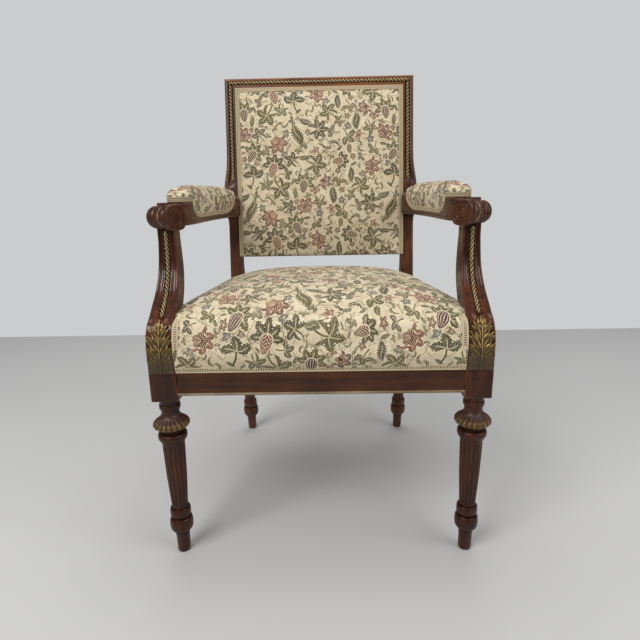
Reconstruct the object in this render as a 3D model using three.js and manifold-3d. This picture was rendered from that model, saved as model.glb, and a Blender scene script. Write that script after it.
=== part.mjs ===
// Open-arm chair with a carved walnut frame, gilt ornament and stuffed seat, back and arm pads.
// Millimetres, +Z up. The chair faces -Y, so its left side, the sitter's, is +X. Pieces are shaped with
// Y = 0 on the front leg axes, and the finished group stands centred over its origin.
import * as THREE from 'three';
import { mergeVertices } from 'three/addons/utils/BufferGeometryUtils.js';
import Module from 'manifold-3d';

const wasm = await Module();
wasm.setup();

// Whole chair
const OVERALL_HEIGHT = 945;
const CLEARANCE = 0.3;
const OVERRUN = 2;
const WELD_DISTANCE = 0.001;

// Front legs
const FRONT_AXIS_X = 271;
const BLOCK_SIDE = 47;
const BLOCK_HEIGHT = 52.6;
const TURNED_HEIGHT = 317.4;
const BULB_RADIUS = 32.5;
const TURNING_SEGMENTS = 16;

// Rear posts
const BACK_HALF_WIDTH = 235;
const REAR_BLOCK_WIDTH = 45;
const REAR_BLOCK_DEPTH = 47;
const REAR_BLOCK_FRONT = 432;
const REAR_FOOT_Y = 507.5;
const REAR_TURNING_SHARE = 0.96;
const STILE_WIDTH = 30.6;
const STILE_DEPTH = 31;
const ARM_FLARE = 9.5;

// Back frame, leaning from its root
const BACK_LEAN = THREE.MathUtils.degToRad(9.165);
const BACK_ROOT_Y = 435.3;
const BACK_ROOT_RISE = 80;
const CREST_FACE_HEIGHT = 36;
const LOWER_RAIL_HEIGHT = 34;
const LOWER_RAIL_THICKNESS = 22;
const PANEL_BOTTOM = 62;
const CREST_LAP = 11.3;
const BACK_WELL_DEPTH = 6;

// Seat rails
const RAIL_HEIGHT = 42;
const RAIL_THICKNESS = 26;
const RAIL_SETBACK = 2;
const RAIL_BEAD_HEIGHT = 5;
const TENON_THICKNESS = 10;
const TENON_LENGTH = 30;
const SIDE_TENON_LENGTH = 17;
const TENON_SHOULDER = 6;
const PEG_RADIUS = 3;
const PEG_LENGTH = 24;
const PEG_INSET = 20.5;
const PEG_DROP = 16.5;
const CORNER_BLOCK_REACH = 52;
const CORNER_BLOCK_SETBACK = 6;

// Arm supports
const SUPPORT_HEAD_HEIGHT = 7;
const SUPPORT_HOUSING = 3;
const SUPPORT_STEPS = 12;
const SUPPORT_SWEEP = 88.5;
const SUPPORT_REAR_SWEEP = 76.5;
const SUPPORT_TOP_WIDTH = 30.5;
const SUPPORT_TOP_INSET = 9;
const DOWEL_RADIUS = 6;
const FOOT_DOWEL_LENGTH = 25;
const TOP_DOWEL_LENGTH = 10;
const DOWEL_OFFSET_X = -10;
const DOWEL_OFFSET_Y = 11;

// Arms
const ARM_FRONT_Y = 68;
const ARM_RISE = 242;
const ARM_WIDTH = 50;
const ARM_SHELF = 9.7;
const ARM_CORE_WIDTH = 32;
const ARM_CORE_HEIGHT = 33;
const ARM_SHOULDER_RISE = 40;
const ARM_HIP_RISE = 76;
const ARM_HIP_LENGTH = 40;
const ARM_REAR_X = 226.5;
const ARM_BOW = 30.5;
const ARM_TENON_LENGTH = 16;
const ARM_TENON_WIDTH = 14;
const ARM_TENON_HEIGHT = 30;
const SCROLL_X = 271;
const SCROLL_Y = 69.5;
const SCROLL_RISE = 16;
const SCROLL_RADIUS = 22;
const SCROLL_WIDTH = 60;
const SCROLL_SPLAY = THREE.MathUtils.degToRad(29);

// Arm pads
const PAD_FRONT_Y = 106;
const PAD_REAR_Y = 424;
const PAD_RISE = 63;
const PAD_STEPS = 9;
const PAD_END_STEPS = 4;
const LINE_STEPS = 60;

// Soft coverings
const FABRIC_THICKNESS = 2;
const GIMP_WIDTH = 14;
const BACK_GIMP_WIDTH = 11.5;
const PAD_GIMP_WIDTH = 11;
const GIMP_THICKNESS = 2;
const SEAT_EDGE_HEIGHT = 83;
const SEAT_CROWN = 41;
const SEAT_BULGE = 8;
const SEAT_CORNER_RADIUS = 30;
const CROWN_POWER = 3.6;
const SEAT_REAR_Y = 470;
const BACK_CROWN = 26;
const BACK_RIM = 3.4;
const BACK_LAP = 4.2;
const BACK_CORNER_RADIUS = 6;

// Seat suspension
const WEB_WIDTH = 50;
const WEB_THICKNESS = 2;
const WEB_PITCH = 112;
const WEB_MIDDLE_Y = 225;
const WEB_LAP = 18;
const SPRING_RADIUS = 34;
const SPRING_WIRE_RADIUS = 1.9;
const SPRING_TURNS = 4;
const SPRING_SIDES = 4;
const SPRING_HEIGHT = 90;
const HESSIAN_THICKNESS = 1.5;
const HESSIAN_CROWN = 22;
const HESSIAN_INSET = 24;
const HESSIAN_CORNER_RADIUS = 110;

// Gilt ornament
const ROPE_RADIUS = 4.6;
const CREST_ROPE_DROP = 11.8;
const STILE_ROPE_INSET = 14.9;
const ROPE_SIDES = 6;
const LEAF_HEIGHT = 93;
const LEAF_HALF_WIDTH = 21.5;
const LEAF_THICKNESS = 6;

// Places worked out from the sizes above
const SEAT_TOP = TURNED_HEIGHT + BLOCK_HEIGHT;
const BACK_ROOT_HEIGHT = SEAT_TOP + BACK_ROOT_RISE;
const ARM_UNDERSIDE = SEAT_TOP + ARM_RISE;
const HALF_BLOCK = BLOCK_SIDE / 2;
const RAIL_BOTTOM = SEAT_TOP - RAIL_HEIGHT;
const BLOCK_INNER_X = FRONT_AXIS_X - HALF_BLOCK;
const BLOCK_OUTER_X = FRONT_AXIS_X + HALF_BLOCK;
const REAR_BLOCK_INNER_X = BACK_HALF_WIDTH - REAR_BLOCK_WIDTH;
const REAR_AXIS_X = BACK_HALF_WIDTH - REAR_BLOCK_WIDTH / 2;
const REAR_BLOCK_BACK = REAR_BLOCK_FRONT + REAR_BLOCK_DEPTH;
const STILE_INNER_X = BACK_HALF_WIDTH - STILE_WIDTH;
const RAIL_FRONT_Y = -HALF_BLOCK + RAIL_SETBACK;
const RAIL_BACK_Y = RAIL_FRONT_Y + RAIL_THICKNESS;
const REAR_RAIL_BACK_Y = REAR_BLOCK_BACK - RAIL_SETBACK;
const REAR_RAIL_FRONT_Y = REAR_RAIL_BACK_Y - RAIL_THICKNESS;
const SIDE_RAIL_FRONT_X = BLOCK_OUTER_X - RAIL_SETBACK - RAIL_THICKNESS / 2;
const SIDE_RAIL_REAR_X = BACK_HALF_WIDTH - RAIL_SETBACK - RAIL_THICKNESS / 2;
const BACK_TOP = (OVERALL_HEIGHT - BACK_ROOT_HEIGHT) / Math.cos(BACK_LEAN);
const CREST_BOTTOM = BACK_TOP - CREST_FACE_HEIGHT;
const CREST_ROPE_HEIGHT = BACK_TOP - CREST_ROPE_DROP;
const SUPPORT_TOP = ARM_UNDERSIDE - SUPPORT_HEAD_HEIGHT;
const SUPPORT_SEAT = ARM_UNDERSIDE + SUPPORT_HOUSING;
const ARM_CENTRE_SHELF = ARM_UNDERSIDE + ARM_SHELF;
const ARM_SHOULDER_TOP = ARM_UNDERSIDE + ARM_SHOULDER_RISE;
const ARM_HIP_TOP = ARM_UNDERSIDE + ARM_HIP_RISE;
const SCROLL_HEIGHT = ARM_UNDERSIDE + SCROLL_RISE;
const PAD_TOP = ARM_UNDERSIDE + PAD_RISE;
const PAD_END_GAP = GIMP_THICKNESS + CLEARANCE * 2;
const PAD_HALF_WIDTH = ARM_WIDTH / 2 - PAD_END_GAP;
const SEAT_MIDDLE_Y = (RAIL_FRONT_Y + SEAT_REAR_Y) / 2;
const SUPPORT_DOWEL_X = FRONT_AXIS_X + DOWEL_OFFSET_X;

const SIDES = [
  { word: 'left', sign: 1 },
  { word: 'right', sign: -1 },
];

// Shares of the turned height, down from the block, and of the bulb's radius: the shoulder of each
// moulding at its top and bottom, and its belly between them.
const TURNING_SHARES = [
  { top: 0, bottom: 0.036, edge: 0.53, belly: 0.51, steps: 2 },
  { top: 0.036, bottom: 0.066, edge: 0.5, belly: 0.565, steps: 2 },
  { top: 0.066, bottom: 0.093, edge: 0.5, belly: 0.49, steps: 2 },
  { top: 0.093, bottom: 0.196, edge: 0.58, belly: 1, steps: 5 },
  { top: 0.21, bottom: 0.253, edge: 0.64, belly: 0.8, steps: 3 },
];
const SHAFT_SHARES = [[0.27, 0.62], [0.49, 0.56], [0.7, 0.446]];
const RING_SHARES = [
  { top: 0.7, bottom: 0.757, edge: 0.446, belly: 0.59, steps: 3 },
  { top: 0.765, bottom: 0.85, edge: 0.43, belly: 0.665, steps: 3 },
];
const FOOT_SHARES = [[0.9, 0.385], [1, 0.357]];

// Shares of the support's height and of its backward sweep, up the front face and up the rear face.
const SUPPORT_FRONT_SHARES = [
  [0, 0], [0.128, -0.005], [0.234, 0.02], [0.34, 0.11], [0.396, 0.28], [0.451, 0.43],
  [0.562, 0.73], [0.71, 0.95], [0.885, 1], [1, 1],
];
const SUPPORT_REAR_SHARES = [
  [0, 0], [0.12, 0], [0.24, 0.1], [0.33, 0.28], [0.43, 0.52], [0.56, 0.8], [0.69, 0.95], [0.85, 1], [1, 1],
];
const TAPER_START_SHARE = 0.25;
const TAPER_END_SHARE = 0.92;
const SHOULDER_SHARE = 0.55;
const HIP_SHARES = [0, 0.3, 0.55, 0.8, 1];
const SUPPORT_ROPE_START_SHARE = 0.47;
const SUPPORT_ROPE_END_SHARE = 0.975;

// Shares of the arm's run to the stile and of its bow outward: the centreline in plan.
const ARM_LINE_SHARES = [
  [0, 1.38], [0.107, 1.07], [0.234, 1], [0.386, 1], [0.589, 0.9], [0.767, 0.64], [0.919, 0.2], [1, 0],
];

// Shares of the scroll's width, from its inner face outward, and of its radius.
const SCROLL_SHARES = [
  [0, 0.8], [0.05, 0.93], [0.16, 0.99], [0.3, 1], [0.42, 0.95], [0.5, 0.87], [0.56, 0.84],
  [0.64, 0.9], [0.78, 0.88], [0.92, 0.8], [1, 0.62],
];

// Shares of the leaf's height and of its half width: three tiers of lobes under a rounded tip.
const LEAF_SHARES = [
  [0, 0.9], [0.1, 1], [0.22, 0.82], [0.27, 0.96], [0.4, 0.72], [0.46, 0.86], [0.6, 0.58],
  [0.66, 0.7], [0.8, 0.42], [0.86, 0.5], [0.95, 0.34], [1, 0.14],
];

// Shares of the pad's height and of its half width, up from its seam.
const PAD_SHARES = [[0, 1], [0.21, 1], [0.4, 1.08], [0.62, 1.03], [0.81, 0.84], [0.94, 0.54], [1, 0.2]];

// Steps round each corner and along each edge of a cushion's outline.
const FACE_DETAIL = { arc: 3, edge: 4 };
const BACK_DETAIL = { arc: 2, edge: 3 };
const HIDDEN_DETAIL = { arc: 2, edge: 2 };

// Shares of a cushion's edge height and of its side bulge, up from the seam.
const EDGE_SHARES = [[0, 0], [0.22, 0.6], [0.48, 1], [0.74, 0.72], [0.92, 0]];
const CROWN_RING_SHARES = [0.98, 0.9, 0.76, 0.56, 0.3];

const WALNUT = new THREE.MeshStandardMaterial({ color: 0x4a2413, roughness: 0.3, metalness: 0 });
const BEECH = new THREE.MeshStandardMaterial({ color: 0xa87f52, roughness: 0.6, metalness: 0 });
const GILT = new THREE.MeshStandardMaterial({ color: 0x8a6f35, roughness: 0.45, metalness: 0.6 });
const TAPESTRY = new THREE.MeshStandardMaterial({ color: 0xb9aa8a, roughness: 0.9, metalness: 0 });
const BRAID = new THREE.MeshStandardMaterial({ color: 0xb8ab86, roughness: 0.85, metalness: 0 });
const JUTE = new THREE.MeshStandardMaterial({ color: 0x9a7d52, roughness: 0.95, metalness: 0 });
const STUFFING = new THREE.MeshStandardMaterial({ color: 0x5d4a38, roughness: 1, metalness: 0 });
const STEEL = new THREE.MeshStandardMaterial({ color: 0x8f8d88, roughness: 0.4, metalness: 0.9 });

// Geometry with its faces pointing out, whichever way it was listed or mirrored.
function outward(geometry) {
  const positions = geometry.attributes.position;
  const index = geometry.index;
  const a = new THREE.Vector3();
  const b = new THREE.Vector3();
  const c = new THREE.Vector3();
  let volume = 0;
  for (let i = 0; i < index.count; i += 3) {
    a.fromBufferAttribute(positions, index.getX(i));
    b.fromBufferAttribute(positions, index.getX(i + 1));
    c.fromBufferAttribute(positions, index.getX(i + 2));
    volume += a.dot(b.cross(c));
  }
  if (volume < 0) {
    for (let i = 0; i < index.count; i += 3) {
      const first = index.getX(i);
      index.setX(i, index.getX(i + 1));
      index.setX(i + 1, first);
    }
  }
  return geometry;
}

// Closed, indexed geometry with shared corners and no collapsed triangles.
function welded(geometry) {
  const bare = geometry.clone();
  bare.deleteAttribute('normal');
  bare.deleteAttribute('uv');
  const merged = mergeVertices(bare, WELD_DISTANCE);
  const kept = [];
  for (let i = 0; i < merged.index.count; i += 3) {
    const corners = [0, 1, 2].map((k) => merged.index.getX(i + k));
    if (new Set(corners).size === 3) {
      kept.push(...corners);
    }
  }
  merged.setIndex(kept);
  return outward(merged);
}

function toSolid(geometry) {
  const closed = welded(geometry);
  return new wasm.Manifold(new wasm.Mesh({
    numProp: 3,
    vertProperties: new Float32Array(closed.attributes.position.array),
    triVerts: new Uint32Array(closed.index.array),
  }));
}

function toGeometry(solid) {
  const mesh = solid.getMesh();
  const geometry = new THREE.BufferGeometry();
  geometry.setAttribute('position', new THREE.BufferAttribute(mesh.vertProperties, 3));
  geometry.setIndex(new THREE.BufferAttribute(mesh.triVerts, 1));
  geometry.computeVertexNormals();
  return geometry;
}

function common(geometry, tool) {
  return toGeometry(toSolid(geometry).intersect(toSolid(tool)));
}

function joined(...geometries) {
  return toGeometry(geometries.map(toSolid).reduce((whole, part) => whole.add(part)));
}

function cut(geometry, ...tools) {
  return toGeometry(tools.map(toSolid).reduce((whole, tool) => whole.subtract(tool), toSolid(geometry)));
}

// Keeps a piece for the left side as it is, and mirrors it for the right side.
function sided(geometry, sign) {
  return outward(welded(geometry).scale(sign, 1, 1));
}

// Box between two corners.
function block(from, to) {
  const size = to.clone().sub(from);
  const centre = from.clone().add(to).divideScalar(2);
  return new THREE.BoxGeometry(size.x, size.y, size.z).translate(centre.x, centre.y, centre.z);
}

// Upright prism over a plan outline of Vector2 points.
function prism(outline, bottom, top) {
  const settings = { depth: top - bottom, bevelEnabled: false, steps: 1 };
  return new THREE.ExtrudeGeometry(new THREE.Shape(outline), settings).translate(0, 0, bottom);
}

// Closed body through a stack of rings, each with the same number of Vector3 points.
function loft(rings) {
  const count = rings[0].length;
  const positions = rings.flat().flatMap((point) => point.toArray());
  const index = [];
  for (let level = 0; level + 1 < rings.length; level += 1) {
    for (let i = 0; i < count; i += 1) {
      const next = (i + 1) % count;
      const low = level * count;
      const high = low + count;
      index.push(low + i, low + next, high + next, low + i, high + next, high + i);
    }
  }
  const ends = [{ ring: 0, turn: -1 }, { ring: rings.length - 1, turn: 1 }];
  for (const { ring, turn } of ends) {
    const centre = new THREE.Vector3();
    rings[ring].forEach((point) => centre.addScaledVector(point, 1 / count));
    const hub = positions.length / 3;
    positions.push(...centre.toArray());
    for (let i = 0; i < count; i += 1) {
      const here = ring * count + i;
      const next = ring * count + ((i + 1) % count);
      index.push(hub, turn > 0 ? here : next, turn > 0 ? next : here);
    }
  }
  const geometry = new THREE.BufferGeometry();
  geometry.setAttribute('position', new THREE.Float32BufferAttribute(positions, 3));
  geometry.setIndex(index);
  return outward(geometry);
}

// Round bar along a curve.
function tube(curve, radius, steps, sides) {
  const section = new THREE.Shape();
  for (let i = 0; i < sides; i += 1) {
    const angle = (i / sides) * 2 * Math.PI;
    const point = [radius * Math.cos(angle), radius * Math.sin(angle)];
    if (i === 0) {
      section.moveTo(...point);
    } else {
      section.lineTo(...point);
    }
  }
  return new THREE.ExtrudeGeometry(section, { extrudePath: curve, steps, bevelEnabled: false });
}

// Closed plan outline with rounded corners: the same number of points whatever its size.
function roundedOutline(corners, radius, arcSteps, edgeSteps) {
  const points = [];
  corners.forEach((corner, i) => {
    const before = corners[(i + corners.length - 1) % corners.length];
    const after = corners[(i + 1) % corners.length];
    const toBefore = before.clone().sub(corner).normalize();
    const toAfter = after.clone().sub(corner).normalize();
    const halfAngle = toBefore.angleTo(toAfter) / 2;
    const reach = radius / Math.tan(halfAngle);
    const start = corner.clone().addScaledVector(toBefore, reach);
    const end = corner.clone().addScaledVector(toAfter, reach);
    const middle = toBefore.clone().add(toAfter).normalize().multiplyScalar(radius / Math.sin(halfAngle));
    const centre = corner.clone().add(middle);
    const from = start.clone().sub(centre);
    const sweep = Math.PI - 2 * halfAngle;
    for (let k = 0; k <= arcSteps; k += 1) {
      points.push(from.clone().rotateAround(new THREE.Vector2(), (k / arcSteps) * sweep).add(centre));
    }
    const nextReach = radius / Math.tan(cornerAngle(corners, i + 1) / 2);
    const nextStart = after.clone().addScaledVector(toAfter, -nextReach);
    for (let k = 1; k < edgeSteps; k += 1) {
      points.push(end.clone().lerp(nextStart, k / edgeSteps));
    }
  });
  return points;
}

function cornerAngle(corners, place) {
  const corner = corners[place % corners.length];
  const before = corners[(place + corners.length - 1) % corners.length];
  const after = corners[(place + 1) % corners.length];
  return before.clone().sub(corner).angleTo(after.clone().sub(corner));
}

// Crowned body over an outline: a seam, a bulging edge and a domed face, in the outline's plane and Z.
function cushion(outline, size) {
  const middle = new THREE.Vector2(0, size.middleY);
  const rings = EDGE_SHARES.map(([rise, bulge]) => outline.map((point) => {
    const out = point.clone().sub(middle).normalize().multiplyScalar(size.bulge * bulge);
    return new THREE.Vector3(point.x + out.x, point.y + out.y, size.base + size.edge * rise);
  }));
  const reach = Math.max(...outline.map((point) => Math.abs(point.y - size.middleY)));
  const dome = (share) => 1 - Math.min(share, 1) ** CROWN_POWER;
  for (const share of CROWN_RING_SHARES) {
    rings.push(outline.map((point) => {
      const place = point.clone().sub(middle).multiplyScalar(share).add(middle);
      const across = dome((share * Math.abs(point.x)) / size.widthAt(point.y));
      const along = dome((share * Math.abs(point.y - size.middleY)) / reach);
      return new THREE.Vector3(place.x, place.y, size.base + size.edge + size.crown * across * along);
    }));
  }
  return loft(rings);
}

// Turned leg profile as a lathe standing on Z = 0, with its top in the block.
function turnedLeg(height, radius, overrun) {
  const place = (down, out) => new THREE.Vector2(out * radius, (1 - down) * height);
  const bead = ({ top, bottom, edge, belly, steps }) => Array.from({ length: steps + 1 }, (_, i) => {
    const step = i / steps;
    return place(top + (bottom - top) * step, edge + (belly - edge) * Math.sin(step * Math.PI));
  });
  const profile = [
    new THREE.Vector2(0, height + overrun),
    new THREE.Vector2(TURNING_SHARES[0].edge * radius, height + overrun),
    ...TURNING_SHARES.flatMap(bead),
    ...SHAFT_SHARES.map(([down, out]) => place(down, out)),
    ...RING_SHARES.flatMap(bead),
    ...FOOT_SHARES.map(([down, out]) => place(down, out)),
    new THREE.Vector2(0, 0),
  ];
  return new THREE.LatheGeometry(profile, TURNING_SEGMENTS).rotateX(Math.PI / 2);
}

// Plan of a side rail, or of its tenons where it reaches past its ends.
function sideRailPlan(thickness, reach) {
  const run = REAR_BLOCK_FRONT - HALF_BLOCK;
  const slope = (SIDE_RAIL_REAR_X - SIDE_RAIL_FRONT_X) / run;
  const ends = [HALF_BLOCK + CLEARANCE - reach, REAR_BLOCK_FRONT - CLEARANCE + reach];
  const [front, rear] = ends.map((y) => ({ x: SIDE_RAIL_FRONT_X + (y - HALF_BLOCK) * slope, y }));
  return [
    new THREE.Vector2(front.x - thickness / 2, front.y),
    new THREE.Vector2(front.x + thickness / 2, front.y),
    new THREE.Vector2(rear.x + thickness / 2, rear.y),
    new THREE.Vector2(rear.x - thickness / 2, rear.y),
  ];
}

function sideRailInnerX(y) {
  const [front, , , rear] = sideRailPlan(RAIL_THICKNESS, 0);
  return THREE.MathUtils.mapLinear(y, front.y, rear.y, front.x, rear.x);
}

function sideRailTenons(gap) {
  const plan = sideRailPlan(TENON_THICKNESS + 2 * gap, SIDE_TENON_LENGTH + gap);
  return prism(plan, RAIL_BOTTOM + TENON_SHOULDER - gap, SEAT_TOP - TENON_SHOULDER + gap);
}

// Tenons of a rail that runs along X between two blocks, in the middle of its thickness.
function crossRailTenons(innerX, frontY, length, gap) {
  const reach = innerX - CLEARANCE + length + gap;
  const middle = frontY + RAIL_THICKNESS / 2;
  const half = TENON_THICKNESS / 2 + gap;
  return block(
    new THREE.Vector3(-reach, middle - half, RAIL_BOTTOM + TENON_SHOULDER - gap),
    new THREE.Vector3(reach, middle + half, SEAT_TOP - TENON_SHOULDER + gap),
  );
}

function frontRailTenons(gap) {
  return crossRailTenons(BLOCK_INNER_X, RAIL_FRONT_Y, TENON_LENGTH, gap);
}

function rearRailTenons(gap) {
  return crossRailTenons(REAR_BLOCK_INNER_X, REAR_RAIL_FRONT_Y, SIDE_TENON_LENGTH, gap);
}

function peg(gap) {
  const middle = PEG_LENGTH / 2 - HALF_BLOCK + CLEARANCE;
  const radius = PEG_RADIUS + gap;
  return new THREE.CylinderGeometry(radius, radius, PEG_LENGTH + 4 * gap, TURNING_SEGMENTS)
    .translate(BLOCK_INNER_X + PEG_INSET, middle, SEAT_TOP - PEG_DROP);
}

function uprightDowel(x, y, bottom, top, gap) {
  const radius = DOWEL_RADIUS + gap;
  return new THREE.CylinderGeometry(radius, radius, top - bottom, TURNING_SEGMENTS)
    .rotateX(Math.PI / 2).translate(x, y, (top + bottom) / 2);
}

function supportFootDowel(gap) {
  const bottom = SEAT_TOP - FOOT_DOWEL_LENGTH - gap;
  return uprightDowel(SUPPORT_DOWEL_X, DOWEL_OFFSET_Y, bottom, SEAT_TOP + OVERRUN, gap);
}

function supportTopDowel(gap) {
  const middle = (supportLine(SUPPORT_FRONT_SHARES, SUPPORT_SWEEP, -HALF_BLOCK).at(-1).x
    + supportLine(SUPPORT_REAR_SHARES, SUPPORT_REAR_SWEEP, HALF_BLOCK).at(-1).x) / 2;
  const x = BLOCK_OUTER_X - SUPPORT_TOP_INSET - SUPPORT_TOP_WIDTH / 2;
  return uprightDowel(x, middle, SUPPORT_SEAT - OVERRUN, SUPPORT_SEAT + TOP_DOWEL_LENGTH + gap, gap);
}

function frontLeg() {
  const leg = turnedLeg(TURNED_HEIGHT, BULB_RADIUS, OVERRUN).translate(FRONT_AXIS_X, 0, 0);
  const head = block(
    new THREE.Vector3(BLOCK_INNER_X, -HALF_BLOCK, TURNED_HEIGHT),
    new THREE.Vector3(BLOCK_OUTER_X, HALF_BLOCK, SEAT_TOP),
  );
  const tenons = [frontRailTenons(CLEARANCE), sideRailTenons(CLEARANCE)];
  return cut(joined(leg, head), ...tenons, supportFootDowel(CLEARANCE), peg(CLEARANCE));
}

// Front face of the back frame at a height, with a short upright stretch at the block.
function stileFront(height) {
  const leaning = BACK_ROOT_Y + (height - BACK_ROOT_HEIGHT) * Math.tan(BACK_LEAN);
  return Math.max(leaning, REAR_BLOCK_FRONT);
}

// Turns a geometry of the back, with X across, Y through and Z up its slope, into the chair's frame.
function leaned(geometry) {
  return geometry.rotateX(-BACK_LEAN).translate(0, BACK_ROOT_Y, BACK_ROOT_HEIGHT);
}

// Rear post sections: shares of the way from the block to the stile, at heights in the chair's frame.
function postBody() {
  const armTop = ARM_HIP_TOP + ARM_FLARE;
  const armMiddle = ARM_UNDERSIDE + ARM_SHELF;
  const stations = [
    { height: TURNED_HEIGHT, slim: 0, flare: 0 },
    { height: SEAT_TOP, slim: 0, flare: 0 },
    { height: SEAT_TOP + BLOCK_HEIGHT / 2, slim: 0.3, flare: 0 },
    { height: SEAT_TOP + BLOCK_HEIGHT, slim: 0.7, flare: 0 },
    { height: BACK_ROOT_HEIGHT + PANEL_BOTTOM / 2, slim: 0.95, flare: 0 },
    { height: BACK_ROOT_HEIGHT + PANEL_BOTTOM, slim: 1, flare: 0 },
    { height: ARM_UNDERSIDE - ARM_FLARE, slim: 1, flare: 0 },
    { height: armMiddle, slim: 1, flare: 0.8 },
    { height: ARM_SHOULDER_TOP, slim: 1, flare: 1 },
    { height: ARM_HIP_TOP, slim: 1, flare: 0.95 },
    { height: armTop + (armTop - armMiddle) / 4, slim: 1, flare: 0.42 },
    { height: armTop + (armTop - armMiddle) / 2, slim: 1, flare: 0.12 },
    { height: armTop + (armTop - armMiddle), slim: 1, flare: 0 },
    { height: OVERALL_HEIGHT - CREST_FACE_HEIGHT / 2, slim: 1, flare: 0 },
  ];
  return loft(stations.map(({ height, slim, flare }) => {
    const front = stileFront(height);
    const back = front + THREE.MathUtils.lerp(REAR_BLOCK_DEPTH, STILE_DEPTH / Math.cos(BACK_LEAN), slim);
    const inner = THREE.MathUtils.lerp(REAR_BLOCK_INNER_X, STILE_INNER_X, slim);
    const outer = BACK_HALF_WIDTH + ARM_FLARE * flare;
    return [[inner, front], [outer, front], [outer, back], [inner, back]]
      .map(([x, y]) => new THREE.Vector3(x, y, height));
  }));
}

// Crest rail blank, grown by a gap, in the back's own frame.
function crestBlank(gap) {
  return block(
    new THREE.Vector3(-BACK_HALF_WIDTH - gap, -gap, CREST_BOTTOM - gap),
    new THREE.Vector3(BACK_HALF_WIDTH + gap, STILE_DEPTH + gap, BACK_TOP + gap),
  );
}

function crestTenon(gap) {
  const middleX = (BACK_HALF_WIDTH + STILE_INNER_X) / 2;
  const half = TENON_THICKNESS / 2 + gap;
  return block(
    new THREE.Vector3(middleX - half, STILE_DEPTH / 2 - half, CREST_BOTTOM - CREST_FACE_HEIGHT / 2),
    new THREE.Vector3(middleX + half, STILE_DEPTH / 2 + half, CREST_BOTTOM + CREST_FACE_HEIGHT / 3 + gap),
  );
}

function lowerRailTenons(gap) {
  const reach = STILE_INNER_X + SIDE_TENON_LENGTH + gap;
  const middleY = (STILE_DEPTH + LOWER_RAIL_THICKNESS) / 4 + RAIL_SETBACK;
  const half = TENON_THICKNESS / 2 + gap;
  const low = PANEL_BOTTOM + TENON_SHOULDER - gap;
  return block(
    new THREE.Vector3(-reach, middleY - half, low),
    new THREE.Vector3(reach, middleY + half, PANEL_BOTTOM + LOWER_RAIL_HEIGHT - TENON_SHOULDER + gap),
  );
}

function armTenon(gap) {
  const low = ARM_UNDERSIDE + ARM_TENON_HEIGHT / 2;
  const half = ARM_TENON_WIDTH / 2 + gap;
  const high = low + ARM_TENON_HEIGHT;
  const front = stileFront(low) - ARM_HIP_LENGTH / 2;
  const rear = stileFront(low) + ARM_TENON_LENGTH;
  return block(
    new THREE.Vector3(ARM_REAR_X - half, front, low - gap),
    new THREE.Vector3(ARM_REAR_X + half, rear + gap, high + gap),
  );
}

function crestRope(radius) {
  const reach = BACK_HALF_WIDTH - STILE_ROPE_INSET + ROPE_RADIUS;
  const line = new THREE.LineCurve3(
    new THREE.Vector3(-reach, 0, CREST_ROPE_HEIGHT),
    new THREE.Vector3(reach, 0, CREST_ROPE_HEIGHT),
  );
  return tube(line, radius, 1, ROPE_SIDES);
}

function stileRope(radius, gap) {
  const x = BACK_HALF_WIDTH - STILE_ROPE_INSET;
  const bottom = (ARM_HIP_TOP + ARM_FLARE - BACK_ROOT_HEIGHT) / Math.cos(BACK_LEAN);
  const line = new THREE.LineCurve3(
    new THREE.Vector3(x, 0, bottom - gap),
    new THREE.Vector3(x, 0, CREST_ROPE_HEIGHT - ROPE_RADIUS - CLEARANCE * 2 + gap),
  );
  return tube(line, radius, 1, ROPE_SIDES);
}

function rearPost() {
  const rake = Math.atan((REAR_FOOT_Y - REAR_BLOCK_FRONT - REAR_BLOCK_DEPTH / 2) / TURNED_HEIGHT);
  const length = TURNED_HEIGHT / Math.cos(rake);
  const radius = BULB_RADIUS * REAR_TURNING_SHARE;
  const leg = turnedLeg(length, radius, OVERRUN * 2)
    .translate(0, 0, -length).scale(1, 1, 1 + OVERRUN / length)
    .rotateX(rake).translate(REAR_AXIS_X, REAR_BLOCK_FRONT + REAR_BLOCK_DEPTH / 2, TURNED_HEIGHT);
  const floor = block(
    new THREE.Vector3(0, 0, -BLOCK_SIDE),
    new THREE.Vector3(BACK_HALF_WIDTH * 2, REAR_FOOT_Y * 2, 0),
  );
  const tools = [
    floor,
    leaned(crestBlank(CLEARANCE)),
    leaned(stileRope(ROPE_RADIUS + CLEARANCE, CLEARANCE)),
    leaned(lowerRailTenons(CLEARANCE)),
    sideRailTenons(CLEARANCE),
    rearRailTenons(CLEARANCE),
    armTenon(CLEARANCE),
  ];
  return joined(cut(joined(leg, postBody()), ...tools), leaned(crestTenon(0)));
}

function frontRail() {
  const reach = BLOCK_INNER_X - CLEARANCE;
  const body = block(
    new THREE.Vector3(-reach, RAIL_FRONT_Y, RAIL_BOTTOM),
    new THREE.Vector3(reach, RAIL_BACK_Y, SEAT_TOP),
  );
  const bead = block(
    new THREE.Vector3(-reach, -HALF_BLOCK, RAIL_BOTTOM),
    new THREE.Vector3(reach, RAIL_FRONT_Y + RAIL_SETBACK, RAIL_BOTTOM + RAIL_BEAD_HEIGHT),
  );
  const pegHoles = SIDES.map(({ sign }) => sided(peg(CLEARANCE), sign));
  return cut(joined(body, bead, frontRailTenons(0)), ...pegHoles);
}

function rearRail() {
  const reach = REAR_BLOCK_INNER_X - CLEARANCE;
  const body = block(
    new THREE.Vector3(-reach, REAR_RAIL_FRONT_Y, RAIL_BOTTOM),
    new THREE.Vector3(reach, REAR_RAIL_BACK_Y, SEAT_TOP),
  );
  return joined(body, rearRailTenons(0));
}

function sideRail() {
  return joined(prism(sideRailPlan(RAIL_THICKNESS, 0), RAIL_BOTTOM, SEAT_TOP), sideRailTenons(0));
}

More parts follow.
